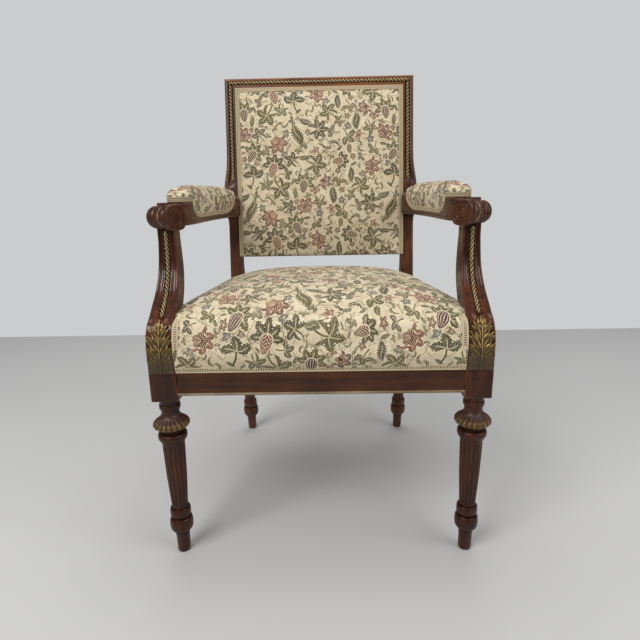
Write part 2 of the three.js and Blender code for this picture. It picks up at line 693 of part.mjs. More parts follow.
function frontCornerBlock() {
  const railY = RAIL_BACK_Y + CLEARANCE;
  const legX = BLOCK_INNER_X - CLEARANCE;
  const legY = HALF_BLOCK + CLEARANCE;
  const far = legY + CORNER_BLOCK_REACH;
  const plan = [
    new THREE.Vector2(legX - CORNER_BLOCK_REACH, railY),
    new THREE.Vector2(legX, railY),
    new THREE.Vector2(legX, legY),
    new THREE.Vector2(sideRailInnerX(legY) - CLEARANCE, legY),
    new THREE.Vector2(sideRailInnerX(far) - CLEARANCE, far),
  ];
  return prism(plan, RAIL_BOTTOM + CORNER_BLOCK_SETBACK, SEAT_TOP - CORNER_BLOCK_SETBACK);
}

function rearCornerBlock() {
  const railY = REAR_RAIL_FRONT_Y - CLEARANCE;
  const postX = REAR_BLOCK_INNER_X - CLEARANCE;
  const postY = REAR_BLOCK_FRONT - CLEARANCE;
  const near = postY - CORNER_BLOCK_REACH;
  const plan = [
    new THREE.Vector2(sideRailInnerX(near) - CLEARANCE, near),
    new THREE.Vector2(sideRailInnerX(postY) - CLEARANCE, postY),
    new THREE.Vector2(postX, postY),
    new THREE.Vector2(postX, railY),
    new THREE.Vector2(postX - CORNER_BLOCK_REACH, railY),
  ];
  return prism(plan, RAIL_BOTTOM + CORNER_BLOCK_SETBACK, SEAT_TOP - CORNER_BLOCK_SETBACK);
}

function crestRail() {
  const tenons = SIDES.map(({ sign }) => sided(crestTenon(CLEARANCE), sign));
  const stileRopes = SIDES.map(({ sign }) => sided(stileRope(ROPE_RADIUS + CLEARANCE, CLEARANCE), sign));
  return cut(crestBlank(0), crestRope(ROPE_RADIUS + CLEARANCE), ...stileRopes, ...tenons);
}

function lowerBackRail() {
  const reach = STILE_INNER_X - CLEARANCE;
  const front = RAIL_SETBACK;
  const body = block(
    new THREE.Vector3(-reach, front, PANEL_BOTTOM),
    new THREE.Vector3(reach, front + LOWER_RAIL_THICKNESS, PANEL_BOTTOM + LOWER_RAIL_HEIGHT),
  );
  return joined(body, lowerRailTenons(0));
}

// Points of one edge of the support's side view: X holds the depth and Y the height.
function supportLine(shares, sweep, start) {
  const rise = SUPPORT_TOP - SEAT_TOP;
  return shares.map(([up, back]) => new THREE.Vector2(start + back * sweep, SEAT_TOP + up * rise));
}

function supportFrontCurve() {
  return new THREE.SplineCurve(supportLine(SUPPORT_FRONT_SHARES, SUPPORT_SWEEP, -HALF_BLOCK));
}

// Width of the support at a height: it narrows through the sweep.
function supportSides(height) {
  const up = (height - SEAT_TOP) / (SUPPORT_TOP - SEAT_TOP);
  const step = THREE.MathUtils.inverseLerp(TAPER_START_SHARE, TAPER_END_SHARE, up);
  const taper = THREE.MathUtils.clamp(step, 0, 1);
  const outer = BLOCK_OUTER_X - SUPPORT_TOP_INSET * taper;
  return { inner: outer - THREE.MathUtils.lerp(BLOCK_SIDE, SUPPORT_TOP_WIDTH, taper), outer };
}

function supportRearCurve() {
  return new THREE.SplineCurve(supportLine(SUPPORT_REAR_SHARES, SUPPORT_REAR_SWEEP, HALF_BLOCK));
}

// Side view of the support as an outline, grown by a gap in front and behind.
function supportOutline(gap) {
  const front = supportFrontCurve().getSpacedPoints(SUPPORT_STEPS);
  const rear = supportRearCurve().getSpacedPoints(SUPPORT_STEPS).reverse();
  return [
    ...front.map((point) => new THREE.Vector2(point.x - gap, point.y)),
    ...rear.map((point) => new THREE.Vector2(point.x + gap, point.y)),
  ];
}

// Body with the support's side view between two X values that may follow the height.
function supportPrism(outline, sidesAt) {
  const settings = { depth: 1, bevelEnabled: false, steps: 1 };
  const geometry = new THREE.ExtrudeGeometry(new THREE.Shape(outline), settings);
  const positions = geometry.attributes.position;
  for (let i = 0; i < positions.count; i += 1) {
    const depth = positions.getX(i);
    const height = positions.getY(i);
    const { inner, outer } = sidesAt(height);
    positions.setXYZ(i, THREE.MathUtils.lerp(inner, outer, positions.getZ(i)), depth, height);
  }
  return geometry;
}

function supportRope(radius, gap) {
  const curve = supportFrontCurve();
  const reach = gap / curve.getLength();
  const start = SUPPORT_ROPE_START_SHARE - reach;
  const end = SUPPORT_ROPE_END_SHARE + reach;
  const points = [];
  for (let i = 0; i <= 8; i += 1) {
    const point = curve.getPointAt(THREE.MathUtils.lerp(start, end, i / 8));
    const { inner, outer } = supportSides(point.y);
    points.push(new THREE.Vector3((inner + outer) / 2, point.x, point.y));
  }
  return tube(new THREE.CatmullRomCurve3(points), radius, SUPPORT_STEPS, ROPE_SIDES);
}

// Square head of the support, which is let into the arm's underside, grown by a gap.
function supportHead(gap) {
  const { inner, outer } = supportSides(SUPPORT_TOP);
  const front = supportLine(SUPPORT_FRONT_SHARES, SUPPORT_SWEEP, -HALF_BLOCK).at(-1).x;
  const rear = supportLine(SUPPORT_REAR_SHARES, SUPPORT_REAR_SWEEP, HALF_BLOCK).at(-1).x;
  return block(
    new THREE.Vector3(inner - gap, front - gap, SUPPORT_TOP - OVERRUN),
    new THREE.Vector3(outer + gap, rear + gap, SUPPORT_SEAT + gap),
  );
}

function armSupport() {
  const body = supportPrism(supportOutline(0), supportSides);
  const whole = joined(body, supportHead(0), supportFootDowel(0), supportTopDowel(0));
  return cut(whole, supportRope(ROPE_RADIUS + CLEARANCE, CLEARANCE));
}

// Space that the support takes out of the seat's upholstery, with all that lies before and beside it.
function supportRoom() {
  const rear = supportRearCurve().getSpacedPoints(SUPPORT_STEPS)
    .map((point) => new THREE.Vector2(point.x + CLEARANCE, point.y));
  const outline = [
    new THREE.Vector2(-BLOCK_SIDE * 2, SEAT_TOP - OVERRUN),
    new THREE.Vector2(rear[0].x, SEAT_TOP - OVERRUN),
    ...rear,
    new THREE.Vector2(-BLOCK_SIDE * 2, SUPPORT_TOP),
  ];
  const inner = BLOCK_INNER_X - CLEARANCE;
  return supportPrism(outline, () => ({ inner, outer: inner + BLOCK_SIDE * 2 }));
}

function acanthusLeaf() {
  const curve = supportFrontCurve();
  const length = curve.getLength();
  const rings = LEAF_SHARES.map(([up, spread]) => {
    const reach = Math.max((up * LEAF_HEIGHT) / length, WELD_DISTANCE);
    const point = curve.getPointAt(reach);
    const tangent = curve.getTangentAt(reach);
    const normal = new THREE.Vector2(-tangent.y, tangent.x);
    const { inner, outer } = supportSides(point.y);
    const half = LEAF_HALF_WIDTH * spread;
    const section = [[-1, 0], [1, 0], [1, 0.35], [0.5, 0.85], [0, 1], [-0.5, 0.85], [-1, 0.35]];
    return section.map(([across, proud]) => {
      const place = point.clone().addScaledVector(normal, CLEARANCE + proud * LEAF_THICKNESS);
      return new THREE.Vector3((inner + outer) / 2 + across * half, place.x, place.y);
    });
  });
  const support = supportPrism(supportOutline(CLEARANCE), () => ({ inner: 0, outer: BLOCK_OUTER_X * 2 }));
  return cut(loft(rings), support, supportRope(ROPE_RADIUS + CLEARANCE, CLEARANCE));
}

// Centreline of the arm in plan, from the scroll to the stile.
function armLine() {
  const run = stileFront(ARM_UNDERSIDE) - CLEARANCE - ARM_FRONT_Y;
  return new THREE.SplineCurve(ARM_LINE_SHARES.map(([along, bow]) => (
    new THREE.Vector2(ARM_REAR_X + ARM_BOW * bow, ARM_FRONT_Y + run * along)
  )));
}

// Body along the arm between two depths: each station gives its half width, bottom and top.
function armBody(fromY, toY, steps, sectionAt) {
  const line = armLine().getSpacedPoints(LINE_STEPS);
  const rings = [];
  for (let i = 0; i <= steps; i += 1) {
    const along = i / steps;
    const y = THREE.MathUtils.lerp(fromY, toY, along);
    const { half, bottom, top } = sectionAt(along);
    const x = lineAt(line, y);
    rings.push([[-half, bottom], [half, bottom], [half, top], [-half, top]]
      .map(([across, height]) => new THREE.Vector3(x + across, y, height)));
  }
  return loft(rings);
}

function lineAt(line, y) {
  const place = Math.min(Math.max(line.findIndex((point) => point.y > y), 1), line.length - 1);
  const [before, after] = [line[place - 1], line[place]];
  return y > after.y ? after.x : THREE.MathUtils.mapLinear(y, before.y, after.y, before.x, after.x);
}

function armCore(gap) {
  const inset = PAD_HALF_WIDTH - gap;
  return armBody(PAD_FRONT_Y + inset, PAD_REAR_Y - inset, 12, () => ({
    half: ARM_CORE_WIDTH / 2 + gap,
    bottom: ARM_CENTRE_SHELF - OVERRUN,
    top: ARM_UNDERSIDE + ARM_CORE_HEIGHT + gap,
  }));
}

function scroll() {
  const profile = [
    new THREE.Vector2(0, 0),
    ...SCROLL_SHARES.map(([along, out]) => new THREE.Vector2(out * SCROLL_RADIUS, along * SCROLL_WIDTH)),
    new THREE.Vector2(0, SCROLL_WIDTH),
  ];
  return new THREE.LatheGeometry(profile, TURNING_SEGMENTS)
    .translate(0, -SCROLL_WIDTH / 2, 0)
    .rotateZ(-Math.PI / 2)
    .rotateZ(SCROLL_SPLAY)
    .translate(SCROLL_X, SCROLL_Y, SCROLL_HEIGHT);
}

// Straight-ended hip where the arm rises to the stile, cut later by the leaning face.
function armHip() {
  const rearY = stileFront(ARM_HIP_TOP) + OVERRUN;
  const frontY = PAD_REAR_Y + PAD_END_GAP;
  const inner = STILE_INNER_X + BACK_LAP + GIMP_THICKNESS + CLEARANCE * 2;
  const outer = BACK_HALF_WIDTH + ARM_FLARE * 0.8;
  const line = armLine().getSpacedPoints(LINE_STEPS);
  const rings = HIP_SHARES.map((along) => {
    const y = THREE.MathUtils.lerp(frontY, rearY, along);
    const middle = lineAt(line, y);
    const low = THREE.MathUtils.lerp(middle - ARM_WIDTH / 2, inner, along);
    const high = THREE.MathUtils.lerp(middle + ARM_WIDTH / 2, outer, along);
    const top = THREE.MathUtils.lerp(ARM_SHOULDER_TOP, ARM_HIP_TOP, along ** 2);
    return [[low, ARM_UNDERSIDE], [high, ARM_UNDERSIDE], [high, top], [low, top]]
      .map(([x, z]) => new THREE.Vector3(x, y, z));
  });
  return loft(rings);
}

// Room of the stile's leaning front face, and of the gimp beside it, which the arm's end is cut to.
function stileRooms() {
  const beside = STILE_INNER_X + BACK_LAP + GIMP_THICKNESS + CLEARANCE * 2;
  const stile = block(
    new THREE.Vector3(STILE_INNER_X - OVERRUN, -CLEARANCE, 0),
    new THREE.Vector3(BACK_HALF_WIDTH + ARM_FLARE * 2, STILE_DEPTH, BACK_TOP),
  );
  const gimp = block(
    new THREE.Vector3(STILE_INNER_X - ARM_WIDTH, -BACK_RIM - GIMP_THICKNESS - BACK_LAP, 0),
    new THREE.Vector3(beside, STILE_DEPTH, BACK_TOP),
  );
  return [leaned(stile), leaned(gimp)];
}

// Shoulder between the scroll's axis and the pad: it widens outward as it runs back.
function armShoulder() {
  const rear = PAD_FRONT_Y - PAD_END_GAP;
  const middle = lineAt(armLine().getSpacedPoints(LINE_STEPS), rear);
  const axis = new THREE.Vector2(Math.cos(SCROLL_SPLAY), Math.sin(SCROLL_SPLAY));
  const centre = new THREE.Vector2(SCROLL_X, SCROLL_Y);
  return prism([
    centre.clone().addScaledVector(axis, SHOULDER_SHARE * SCROLL_WIDTH - SCROLL_WIDTH),
    centre,
    new THREE.Vector2(middle + ARM_WIDTH / 2, rear),
    new THREE.Vector2(middle - ARM_WIDTH / 2, rear),
  ], ARM_UNDERSIDE, ARM_SHOULDER_TOP);
}

function arm() {
  const [shelfFront, shelfRear] = [SCROLL_Y + SCROLL_RADIUS, PAD_REAR_Y + ARM_HIP_LENGTH / 2];
  const shelf = armBody(shelfFront, shelfRear, 16, () => ({
    half: ARM_WIDTH / 2, bottom: ARM_UNDERSIDE, top: ARM_CENTRE_SHELF,
  }));
  const wood = joined(shelf, armShoulder(), armCore(0), scroll(), armHip());
  const trimmed = cut(wood, ...stileRooms(), supportTopDowel(CLEARANCE), supportHead(CLEARANCE));
  return joined(trimmed, armTenon(0));
}

// Plan outline round the arm pad, moved out by an offset, with round ends.
function padOutline(offset) {
  const line = armLine().getSpacedPoints(LINE_STEPS);
  const half = PAD_HALF_WIDTH + offset;
  const [front, rear] = [PAD_FRONT_Y + PAD_HALF_WIDTH, PAD_REAR_Y - PAD_HALF_WIDTH];
  const outer = [];
  const inner = [];
  for (let i = 0; i <= PAD_STEPS; i += 1) {
    const y = THREE.MathUtils.lerp(front, rear, i / PAD_STEPS);
    outer.push(new THREE.Vector2(lineAt(line, y) + half, y));
    inner.unshift(new THREE.Vector2(lineAt(line, y) - half, y));
  }
  const round = (y, start) => Array.from({ length: PAD_END_STEPS - 1 }, (_, k) => {
    const angle = start + ((k + 1) / PAD_END_STEPS) * Math.PI;
    return new THREE.Vector2(lineAt(line, y) + half * Math.cos(angle), y + half * Math.sin(angle));
  });
  return [...outer, ...round(rear, 0), ...inner, ...round(front, Math.PI)];
}

// Arm pad: upright sides behind its gimp, then a crowned top drawn towards the arm's line.
function armPad() {
  const line = armLine().getSpacedPoints(LINE_STEPS);
  const bottom = ARM_CENTRE_SHELF + CLEARANCE;
  const [front, rear] = [PAD_FRONT_Y + PAD_HALF_WIDTH, PAD_REAR_Y - PAD_HALF_WIDTH];
  const rings = PAD_SHARES.map(([up, spread]) => padOutline(0).map((point) => {
    const y = THREE.MathUtils.clamp(point.y, front, rear);
    const middle = new THREE.Vector2(lineAt(line, y), y);
    const place = point.clone().sub(middle).multiplyScalar(spread).add(middle);
    return new THREE.Vector3(place.x, place.y, THREE.MathUtils.lerp(bottom, PAD_TOP, up));
  }));
  return cut(loft(rings), armCore(CLEARANCE));
}

function padGimp() {
  const band = new THREE.Shape(padOutline(CLEARANCE + GIMP_THICKNESS));
  band.holes.push(new THREE.Path(padOutline(CLEARANCE)));
  return new THREE.ExtrudeGeometry(band, { depth: PAD_GIMP_WIDTH, bevelEnabled: false, steps: 1 })
    .translate(0, 0, ARM_CENTRE_SHELF + CLEARANCE);
}

// Half width of the seat's upholstery at a depth: it stands over the side rails' outer faces.
function seatHalfWidth(y) {
  const slope = (SIDE_RAIL_REAR_X - SIDE_RAIL_FRONT_X) / (REAR_BLOCK_FRONT - HALF_BLOCK);
  return SIDE_RAIL_FRONT_X + RAIL_THICKNESS / 2 + (y - HALF_BLOCK) * slope;
}

// Plan of the seat's upholstery, moved in by an inset.
function seatOutline(inset, radius, detail) {
  const front = RAIL_FRONT_Y + inset;
  const rear = SEAT_REAR_Y - inset;
  const corners = [
    new THREE.Vector2(inset - seatHalfWidth(front), front),
    new THREE.Vector2(seatHalfWidth(front) - inset, front),
    new THREE.Vector2(seatHalfWidth(rear) - inset, rear),
    new THREE.Vector2(inset - seatHalfWidth(rear), rear),
  ];
  return roundedOutline(corners, radius, detail.arc, detail.edge);
}

function seatLayer(inset, radius, size, detail) {
  const base = SEAT_TOP + CLEARANCE;
  const widthAt = (y) => seatHalfWidth(y) - inset;
  const settings = { middleY: SEAT_MIDDLE_Y, base, widthAt, ...size };
  return cushion(seatOutline(inset, radius, detail), settings);
}

// Room for the two rear posts in the seat's upholstery.
function postRooms() {
  return SIDES.map(({ sign }) => sided(block(
    new THREE.Vector3(REAR_BLOCK_INNER_X - CLEARANCE, REAR_BLOCK_FRONT - CLEARANCE, SEAT_TOP - OVERRUN),
    new THREE.Vector3(BACK_HALF_WIDTH * 2, SEAT_REAR_Y * 2, BACK_ROOT_HEIGHT + PANEL_BOTTOM * 2),
  ), sign));
}

function seatRooms() {
  return [...SIDES.map(({ sign }) => sided(supportRoom(), sign)), ...postRooms()];
}

// Outer skin of the seat's upholstery, moved in by an inset.
function seatFace(inset) {
  const size = { edge: SEAT_EDGE_HEIGHT - inset, crown: SEAT_CROWN, bulge: SEAT_BULGE };
  return seatLayer(inset, SEAT_CORNER_RADIUS, size, FACE_DETAIL);
}

// Dome over the springs, moved in by an inset from the hessian's outer face.
function springDome(inset) {
  const size = { edge: hessianEdge() - inset, crown: HESSIAN_CROWN, bulge: 0 };
  return seatLayer(HESSIAN_INSET + inset, HESSIAN_CORNER_RADIUS, size, HIDDEN_DETAIL);
}

// Opening through the seam plane of a seat layer.
function seamOpening(outline) {
  return prism(outline, SEAT_TOP - OVERRUN, SEAT_TOP + CLEARANCE * 2);
}

function domeOpening(inset) {
  return seamOpening(seatOutline(HESSIAN_INSET + inset, HESSIAN_CORNER_RADIUS, HIDDEN_DETAIL));
}

function seatCover() {
  const opening = seamOpening(seatOutline(FABRIC_THICKNESS, SEAT_CORNER_RADIUS, FACE_DETAIL));
  return cut(seatFace(0), seatFace(FABRIC_THICKNESS), opening, ...seatRooms());
}

function seatStuffing() {
  const outer = seatFace(FABRIC_THICKNESS + CLEARANCE);
  return cut(outer, springDome(-CLEARANCE), domeOpening(-CLEARANCE), ...seatRooms());
}

// Height of the hessian's edge over the rails, so that its crown lies on the springs.
function hessianEdge() {
  const springTop = RAIL_BOTTOM + SPRING_HEIGHT + CLEARANCE * 2;
  const share = (WEB_PITCH * Math.SQRT2 + SPRING_RADIUS) / (SEAT_REAR_Y - SEAT_MIDDLE_Y);
  const rise = HESSIAN_CROWN * (1 - Math.min(share, 1) ** CROWN_POWER);
  return springTop + HESSIAN_THICKNESS + CLEARANCE - SEAT_TOP - rise;
}

function hessian() {
  return cut(springDome(0), springDome(HESSIAN_THICKNESS), domeOpening(HESSIAN_THICKNESS), ...postRooms());
}

// Skin of gimp all over the seat's upholstery, which each length of gimp is a part of.
function gimpSkin() {
  const opening = seamOpening(seatOutline(-CLEARANCE, SEAT_CORNER_RADIUS, FACE_DETAIL));
  return cut(seatFace(-CLEARANCE - GIMP_THICKNESS), seatFace(-CLEARANCE), opening);
}

// Gimp of the seat front: the bottom band, the uprights beside the supports and their returns.
function frontSeatGimp() {
  const low = SEAT_TOP;
  const high = SEAT_TOP + SEAT_EDGE_HEIGHT + SEAT_CROWN * 2;
  const half = BLOCK_INNER_X - GIMP_WIDTH;
  const reach = block(
    new THREE.Vector3(CLEARANCE - BLOCK_INNER_X, -BLOCK_SIDE * 2, low),
    new THREE.Vector3(BLOCK_INNER_X - CLEARANCE, HALF_BLOCK + GIMP_WIDTH * 2, high),
  );
  const face = block(
    new THREE.Vector3(-half, -BLOCK_SIDE * 2, SEAT_TOP + CLEARANCE + GIMP_WIDTH),
    new THREE.Vector3(half, SEAT_REAR_Y, high),
  );
  return cut(common(gimpSkin(), reach), face);
}

// Gimp along one side of the seat, between the support and the rear post, cut from that side's skin.
function sideSeatGimp(sign) {
  const reach = block(
    new THREE.Vector3(REAR_BLOCK_INNER_X, HALF_BLOCK, SEAT_TOP),
    new THREE.Vector3(BLOCK_OUTER_X * 2, REAR_BLOCK_FRONT - CLEARANCE, SEAT_TOP + CLEARANCE + GIMP_WIDTH),
  );
  return cut(common(gimpSkin(), sided(reach, sign)), sided(supportRoom(), sign));
}

function rearSeatGimp() {
  const half = REAR_BLOCK_INNER_X - CLEARANCE * 2;
  const reach = block(
    new THREE.Vector3(-half, SEAT_REAR_Y - SEAT_CORNER_RADIUS, SEAT_TOP),
    new THREE.Vector3(half, SEAT_REAR_Y * 2, SEAT_TOP + CLEARANCE + GIMP_WIDTH),
  );
  return common(gimpSkin(), reach);
}

// Strap that goes over and under its crossings, along X, at the height of the weave's middle.
function wovenWeb(length, first, crossings) {
  const swing = (WEB_THICKNESS + CLEARANCE) / 2;
  const half = WEB_THICKNESS / 2;
  const points = [[-length / 2, swing]];
  crossings.forEach((place, i) => {
    const level = (i + first) % 2 === 0 ? swing : -swing;
    const reach = WEB_WIDTH / 2 + WEB_THICKNESS;
    points.push([place - reach, level], [place + reach, level]);
  });
  points.push([length / 2, swing]);
  const top = points.map(([x, z]) => new THREE.Vector2(x, z + half));
  const bottom = points.map(([x, z]) => new THREE.Vector2(x, z - half)).reverse();
  const settings = { depth: WEB_WIDTH, bevelEnabled: false, steps: 1 };
  return new THREE.ExtrudeGeometry(new THREE.Shape([...bottom, ...top]), settings)
    .translate(0, 0, -WEB_WIDTH / 2).rotateX(Math.PI / 2);
}

const WEB_LEVEL = RAIL_BOTTOM - CLEARANCE - WEB_THICKNESS - CLEARANCE / 2;
const WEB_PLACES = [-WEB_PITCH, 0, WEB_PITCH];
const SPRING_PLACES = [[-1, -1], [1, -1], [0, 0], [-1, 1], [1, 1]];

// Coil spring standing on the webs: an open helix with flat end turns.
function spring() {
  const wire = SPRING_WIRE_RADIUS;
  const bottom = wire;
  const top = SPRING_HEIGHT - wire;
  const turnSteps = 8;
  const points = [];
  for (let i = 0; i <= SPRING_TURNS * turnSteps; i += 1) {
    const share = i / (SPRING_TURNS * turnSteps);
    const angle = (i / turnSteps) * 2 * Math.PI;
    const waist = 1 - 0.25 * Math.sin(share * Math.PI);
    const eased = share * share * (3 - 2 * share);
    points.push(new THREE.Vector3(
      SPRING_RADIUS * waist * Math.cos(angle),
      SPRING_RADIUS * waist * Math.sin(angle),
      THREE.MathUtils.lerp(bottom, top, eased),
    ));
  }
  return wire3d(points, wire, SPRING_SIDES);
}

// Wire through points as a chain of upright sections, so that it never twists.
function wire3d(points, radius, sides) {
  const rings = points.map((point, i) => {
    const before = points[Math.max(i - 1, 0)];
    const after = points[Math.min(i + 1, points.length - 1)];
    const along = after.clone().sub(before).normalize();
    const across = new THREE.Vector3(0, 0, 1).cross(along).normalize();
    const up = along.clone().cross(across);
    return Array.from({ length: sides }, (_, k) => {
      const angle = (k / sides) * 2 * Math.PI;
      return point.clone()
        .addScaledVector(across, radius * Math.cos(angle))
        .addScaledVector(up, radius * Math.sin(angle));
    });
  });
  return loft(rings);
}

// Plan of the back's upholstery in its own frame: X across and Z up, moved in by an inset.
function backOutline(inset) {
  const half = STILE_INNER_X + BACK_LAP - inset;
  const [low, high] = [PANEL_BOTTOM + inset, CREST_BOTTOM + CREST_LAP - inset];
  const corners = [
    new THREE.Vector2(-half, low),
    new THREE.Vector2(half, low),
    new THREE.Vector2(half, high),
    new THREE.Vector2(-half, high),
  ];
  return roundedOutline(corners, BACK_CORNER_RADIUS, BACK_DETAIL.arc, BACK_DETAIL.edge);
}

// Crowned face of the back's upholstery towards the sitter, moved in by an inset.
function backFace(inset) {
  const middleY = (PANEL_BOTTOM + CREST_BOTTOM + CREST_LAP) / 2;
  const widthAt = () => STILE_INNER_X + BACK_LAP - inset;
  const size = { middleY, widthAt, edge: BACK_RIM - inset, crown: BACK_CROWN, bulge: 0, base: CLEARANCE };
  return cushion(backOutline(inset), size).rotateX(Math.PI / 2);
}

function backCover() {
  const inset = FABRIC_THICKNESS;
  const opening = block(
    new THREE.Vector3(-STILE_INNER_X, -CLEARANCE * 2, PANEL_BOTTOM + inset * 2),
    new THREE.Vector3(STILE_INNER_X, OVERRUN, CREST_BOTTOM),
  );
  return cut(backFace(0), backFace(inset), opening);
}

// Stuffing of the back, which also fills the frame's opening down to the webs.
function backStuffing() {
  const half = STILE_INNER_X - CLEARANCE;
  const low = PANEL_BOTTOM + LOWER_RAIL_HEIGHT + CLEARANCE;
  const well = block(
    new THREE.Vector3(-half, -CLEARANCE * 2, low),
    new THREE.Vector3(half, BACK_WELL_DEPTH, CREST_BOTTOM - CLEARANCE),
  );
  return joined(backFace(FABRIC_THICKNESS + CLEARANCE), well);
}

function backGimp() {
  const half = STILE_INNER_X + BACK_LAP - BACK_GIMP_WIDTH;
  const front = -BACK_CROWN * 2;
  const face = block(
    new THREE.Vector3(-half, front, PANEL_BOTTOM - BACK_GIMP_WIDTH),
    new THREE.Vector3(half, OVERRUN, CREST_BOTTOM + CREST_LAP - BACK_GIMP_WIDTH),
  );
  const under = block(
    new THREE.Vector3(-BACK_HALF_WIDTH, front, PANEL_BOTTOM - BACK_GIMP_WIDTH),
    new THREE.Vector3(BACK_HALF_WIDTH, OVERRUN, PANEL_BOTTOM - CLEARANCE),
  );
  return cut(backFace(-CLEARANCE - GIMP_THICKNESS), backFace(-CLEARANCE), face, under);
}

function outsideBackCover() {
  const half = STILE_INNER_X + BACK_LAP;
  const front = STILE_DEPTH + CLEARANCE;
  return block(
    new THREE.Vector3(-half, front, PANEL_BOTTOM),
    new THREE.Vector3(half, front + FABRIC_THICKNESS, CREST_BOTTOM + BACK_LAP),
  );
}

// Straps of the back, between its stiles and behind the stuffing, in the back's own frame.
function backWeb(place) {
  const half = STILE_INNER_X - CLEARANCE;
  const front = BACK_WELL_DEPTH + CLEARANCE;
  return block(
    new THREE.Vector3(-half, front, place - WEB_WIDTH / 2),
    new THREE.Vector3(half, front + WEB_THICKNESS, place + WEB_WIDTH / 2),
  );
}

function addPiece(parent, name, geometry, material) {
  const mesh = new THREE.Mesh(geometry, material);
  mesh.name = name;
  parent.add(mesh);
  return mesh;
}

function addPair(parent, name, geometry, material) {
  for (const { word, sign } of SIDES) {
    addPiece(parent, `${word}_${name}`, sided(geometry, sign), material);
  }
}

function addFrame(chair, back) {
  addPair(chair, 'front_leg', frontLeg(), WALNUT);
  addPair(chair, 'rear_post', rearPost(), WALNUT);
  addPiece(chair, 'front_seat_rail', frontRail(), WALNUT);
  addPiece(chair, 'rear_seat_rail', rearRail(), WALNUT);
  addPair(chair, 'seat_rail', sideRail(), WALNUT);
  addPair(chair, 'front_corner_block', frontCornerBlock(), BEECH);
  addPair(chair, 'rear_corner_block', rearCornerBlock(), BEECH);
  addPair(chair, 'peg', peg(0), WALNUT);
  addPair(chair, 'arm_support', armSupport(), WALNUT);
  addPair(chair, 'arm', arm(), WALNUT);
  addPiece(back, 'crest_rail', crestRail(), WALNUT);
  addPiece(back, 'lower_back_rail', lowerBackRail(), BEECH);
}

function addOrnament(chair, back) {
  addPair(chair, 'acanthus_leaf', acanthusLeaf(), GILT);
  addPair(chair, 'support_rope', supportRope(ROPE_RADIUS, 0), GILT);
  addPair(back, 'stile_rope', stileRope(ROPE_RADIUS, 0), GILT);
  addPiece(back, 'crest_rope', crestRope(ROPE_RADIUS), GILT);
}

function addSuspension(chair, back) {
  const along = REAR_RAIL_BACK_Y - RAIL_FRONT_Y - 2 * (RAIL_THICKNESS - WEB_LAP);
  WEB_PLACES.forEach((place, i) => {
    const across = 2 * (sideRailInnerX(WEB_MIDDLE_Y + place) + WEB_LAP);
    const cross = wovenWeb(across, i, WEB_PLACES);
    const crossMesh = addPiece(chair, `seat_cross_web_${i + 1}`, cross, JUTE);
    crossMesh.position.set(0, WEB_MIDDLE_Y + place, WEB_LEVEL);
    const offset = (RAIL_FRONT_Y + REAR_RAIL_BACK_Y) / 2;
    const long = wovenWeb(along, i + 1, WEB_PLACES.map((y) => y + WEB_MIDDLE_Y - offset));
    const longMesh = addPiece(chair, `seat_long_web_${i + 1}`, long, JUTE);
    longMesh.rotation.z = Math.PI / 2;
    longMesh.position.set(place, offset, WEB_LEVEL);
  });
  SPRING_PLACES.forEach(([x, y], i) => {
    const mesh = addPiece(chair, `seat_spring_${i + 1}`, spring(), STEEL);
    mesh.position.set(x * WEB_PITCH, WEB_MIDDLE_Y + y * WEB_PITCH, RAIL_BOTTOM + CLEARANCE);
  });
  const height = CREST_BOTTOM - PANEL_BOTTOM - LOWER_RAIL_HEIGHT;
  [1, 2, 3].forEach((step) => {
    const place = PANEL_BOTTOM + LOWER_RAIL_HEIGHT + (height * step) / 4;
    addPiece(back, `back_web_${step}`, backWeb(place), JUTE);
  });
}

function addUpholstery(chair, back) {
  addPiece(chair, 'seat_hessian', hessian(), JUTE);
  addPiece(chair, 'seat_stuffing', seatStuffing(), STUFFING);
  addPiece(chair, 'seat_cover', seatCover(), TAPESTRY);
  addPiece(chair, 'front_seat_gimp', frontSeatGimp(), BRAID);
  for (const { word, sign } of SIDES) {
    addPiece(chair, `${word}_side_seat_gimp`, sideSeatGimp(sign), BRAID);
  }
  addPiece(chair, 'rear_seat_gimp', rearSeatGimp(), BRAID);
  addPiece(back, 'back_stuffing', backStuffing(), STUFFING);
  addPiece(back, 'back_cover', backCover(), TAPESTRY);
  addPiece(back, 'back_gimp', backGimp(), BRAID);
  addPiece(back, 'outside_back_cover', outsideBackCover(), TAPESTRY);
  addPair(chair, 'arm_pad', armPad(), TAPESTRY);
  addPair(chair, 'arm_gimp', padGimp(), BRAID);
}

function buildChair() {
  const whole = new THREE.Group();
  const chair = new THREE.Group();
  const back = new THREE.Group();
  back.rotation.x = -BACK_LEAN;
  back.position.set(0, BACK_ROOT_Y, BACK_ROOT_HEIGHT);
  chair.add(back);
  whole.add(chair);
  addFrame(chair, back);
  addOrnament(chair, back);
  addSuspension(chair, back);
  addUpholstery(chair, back);
  whole.updateMatrixWorld(true);
  const centre = new THREE.Box3().setFromObject(whole, true).getCenter(new THREE.Vector3());
  chair.position.y = -centre.y;
  return whole;
}

export default buildChair();
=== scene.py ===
"""Dresses the open-arm chair: carved walnut frame, gilt ornament and tapestry upholstery.

Shapes are worked out in millimetres from the floor and the front legs' axis, with +Y towards the back,
and set in the row frame as each mesh is made. The chair's left side is +X, and right pieces are mirrored.
"""

import logging
import math
import random
from dataclasses import dataclass, field
from enum import Enum
from typing import Callable, Sequence

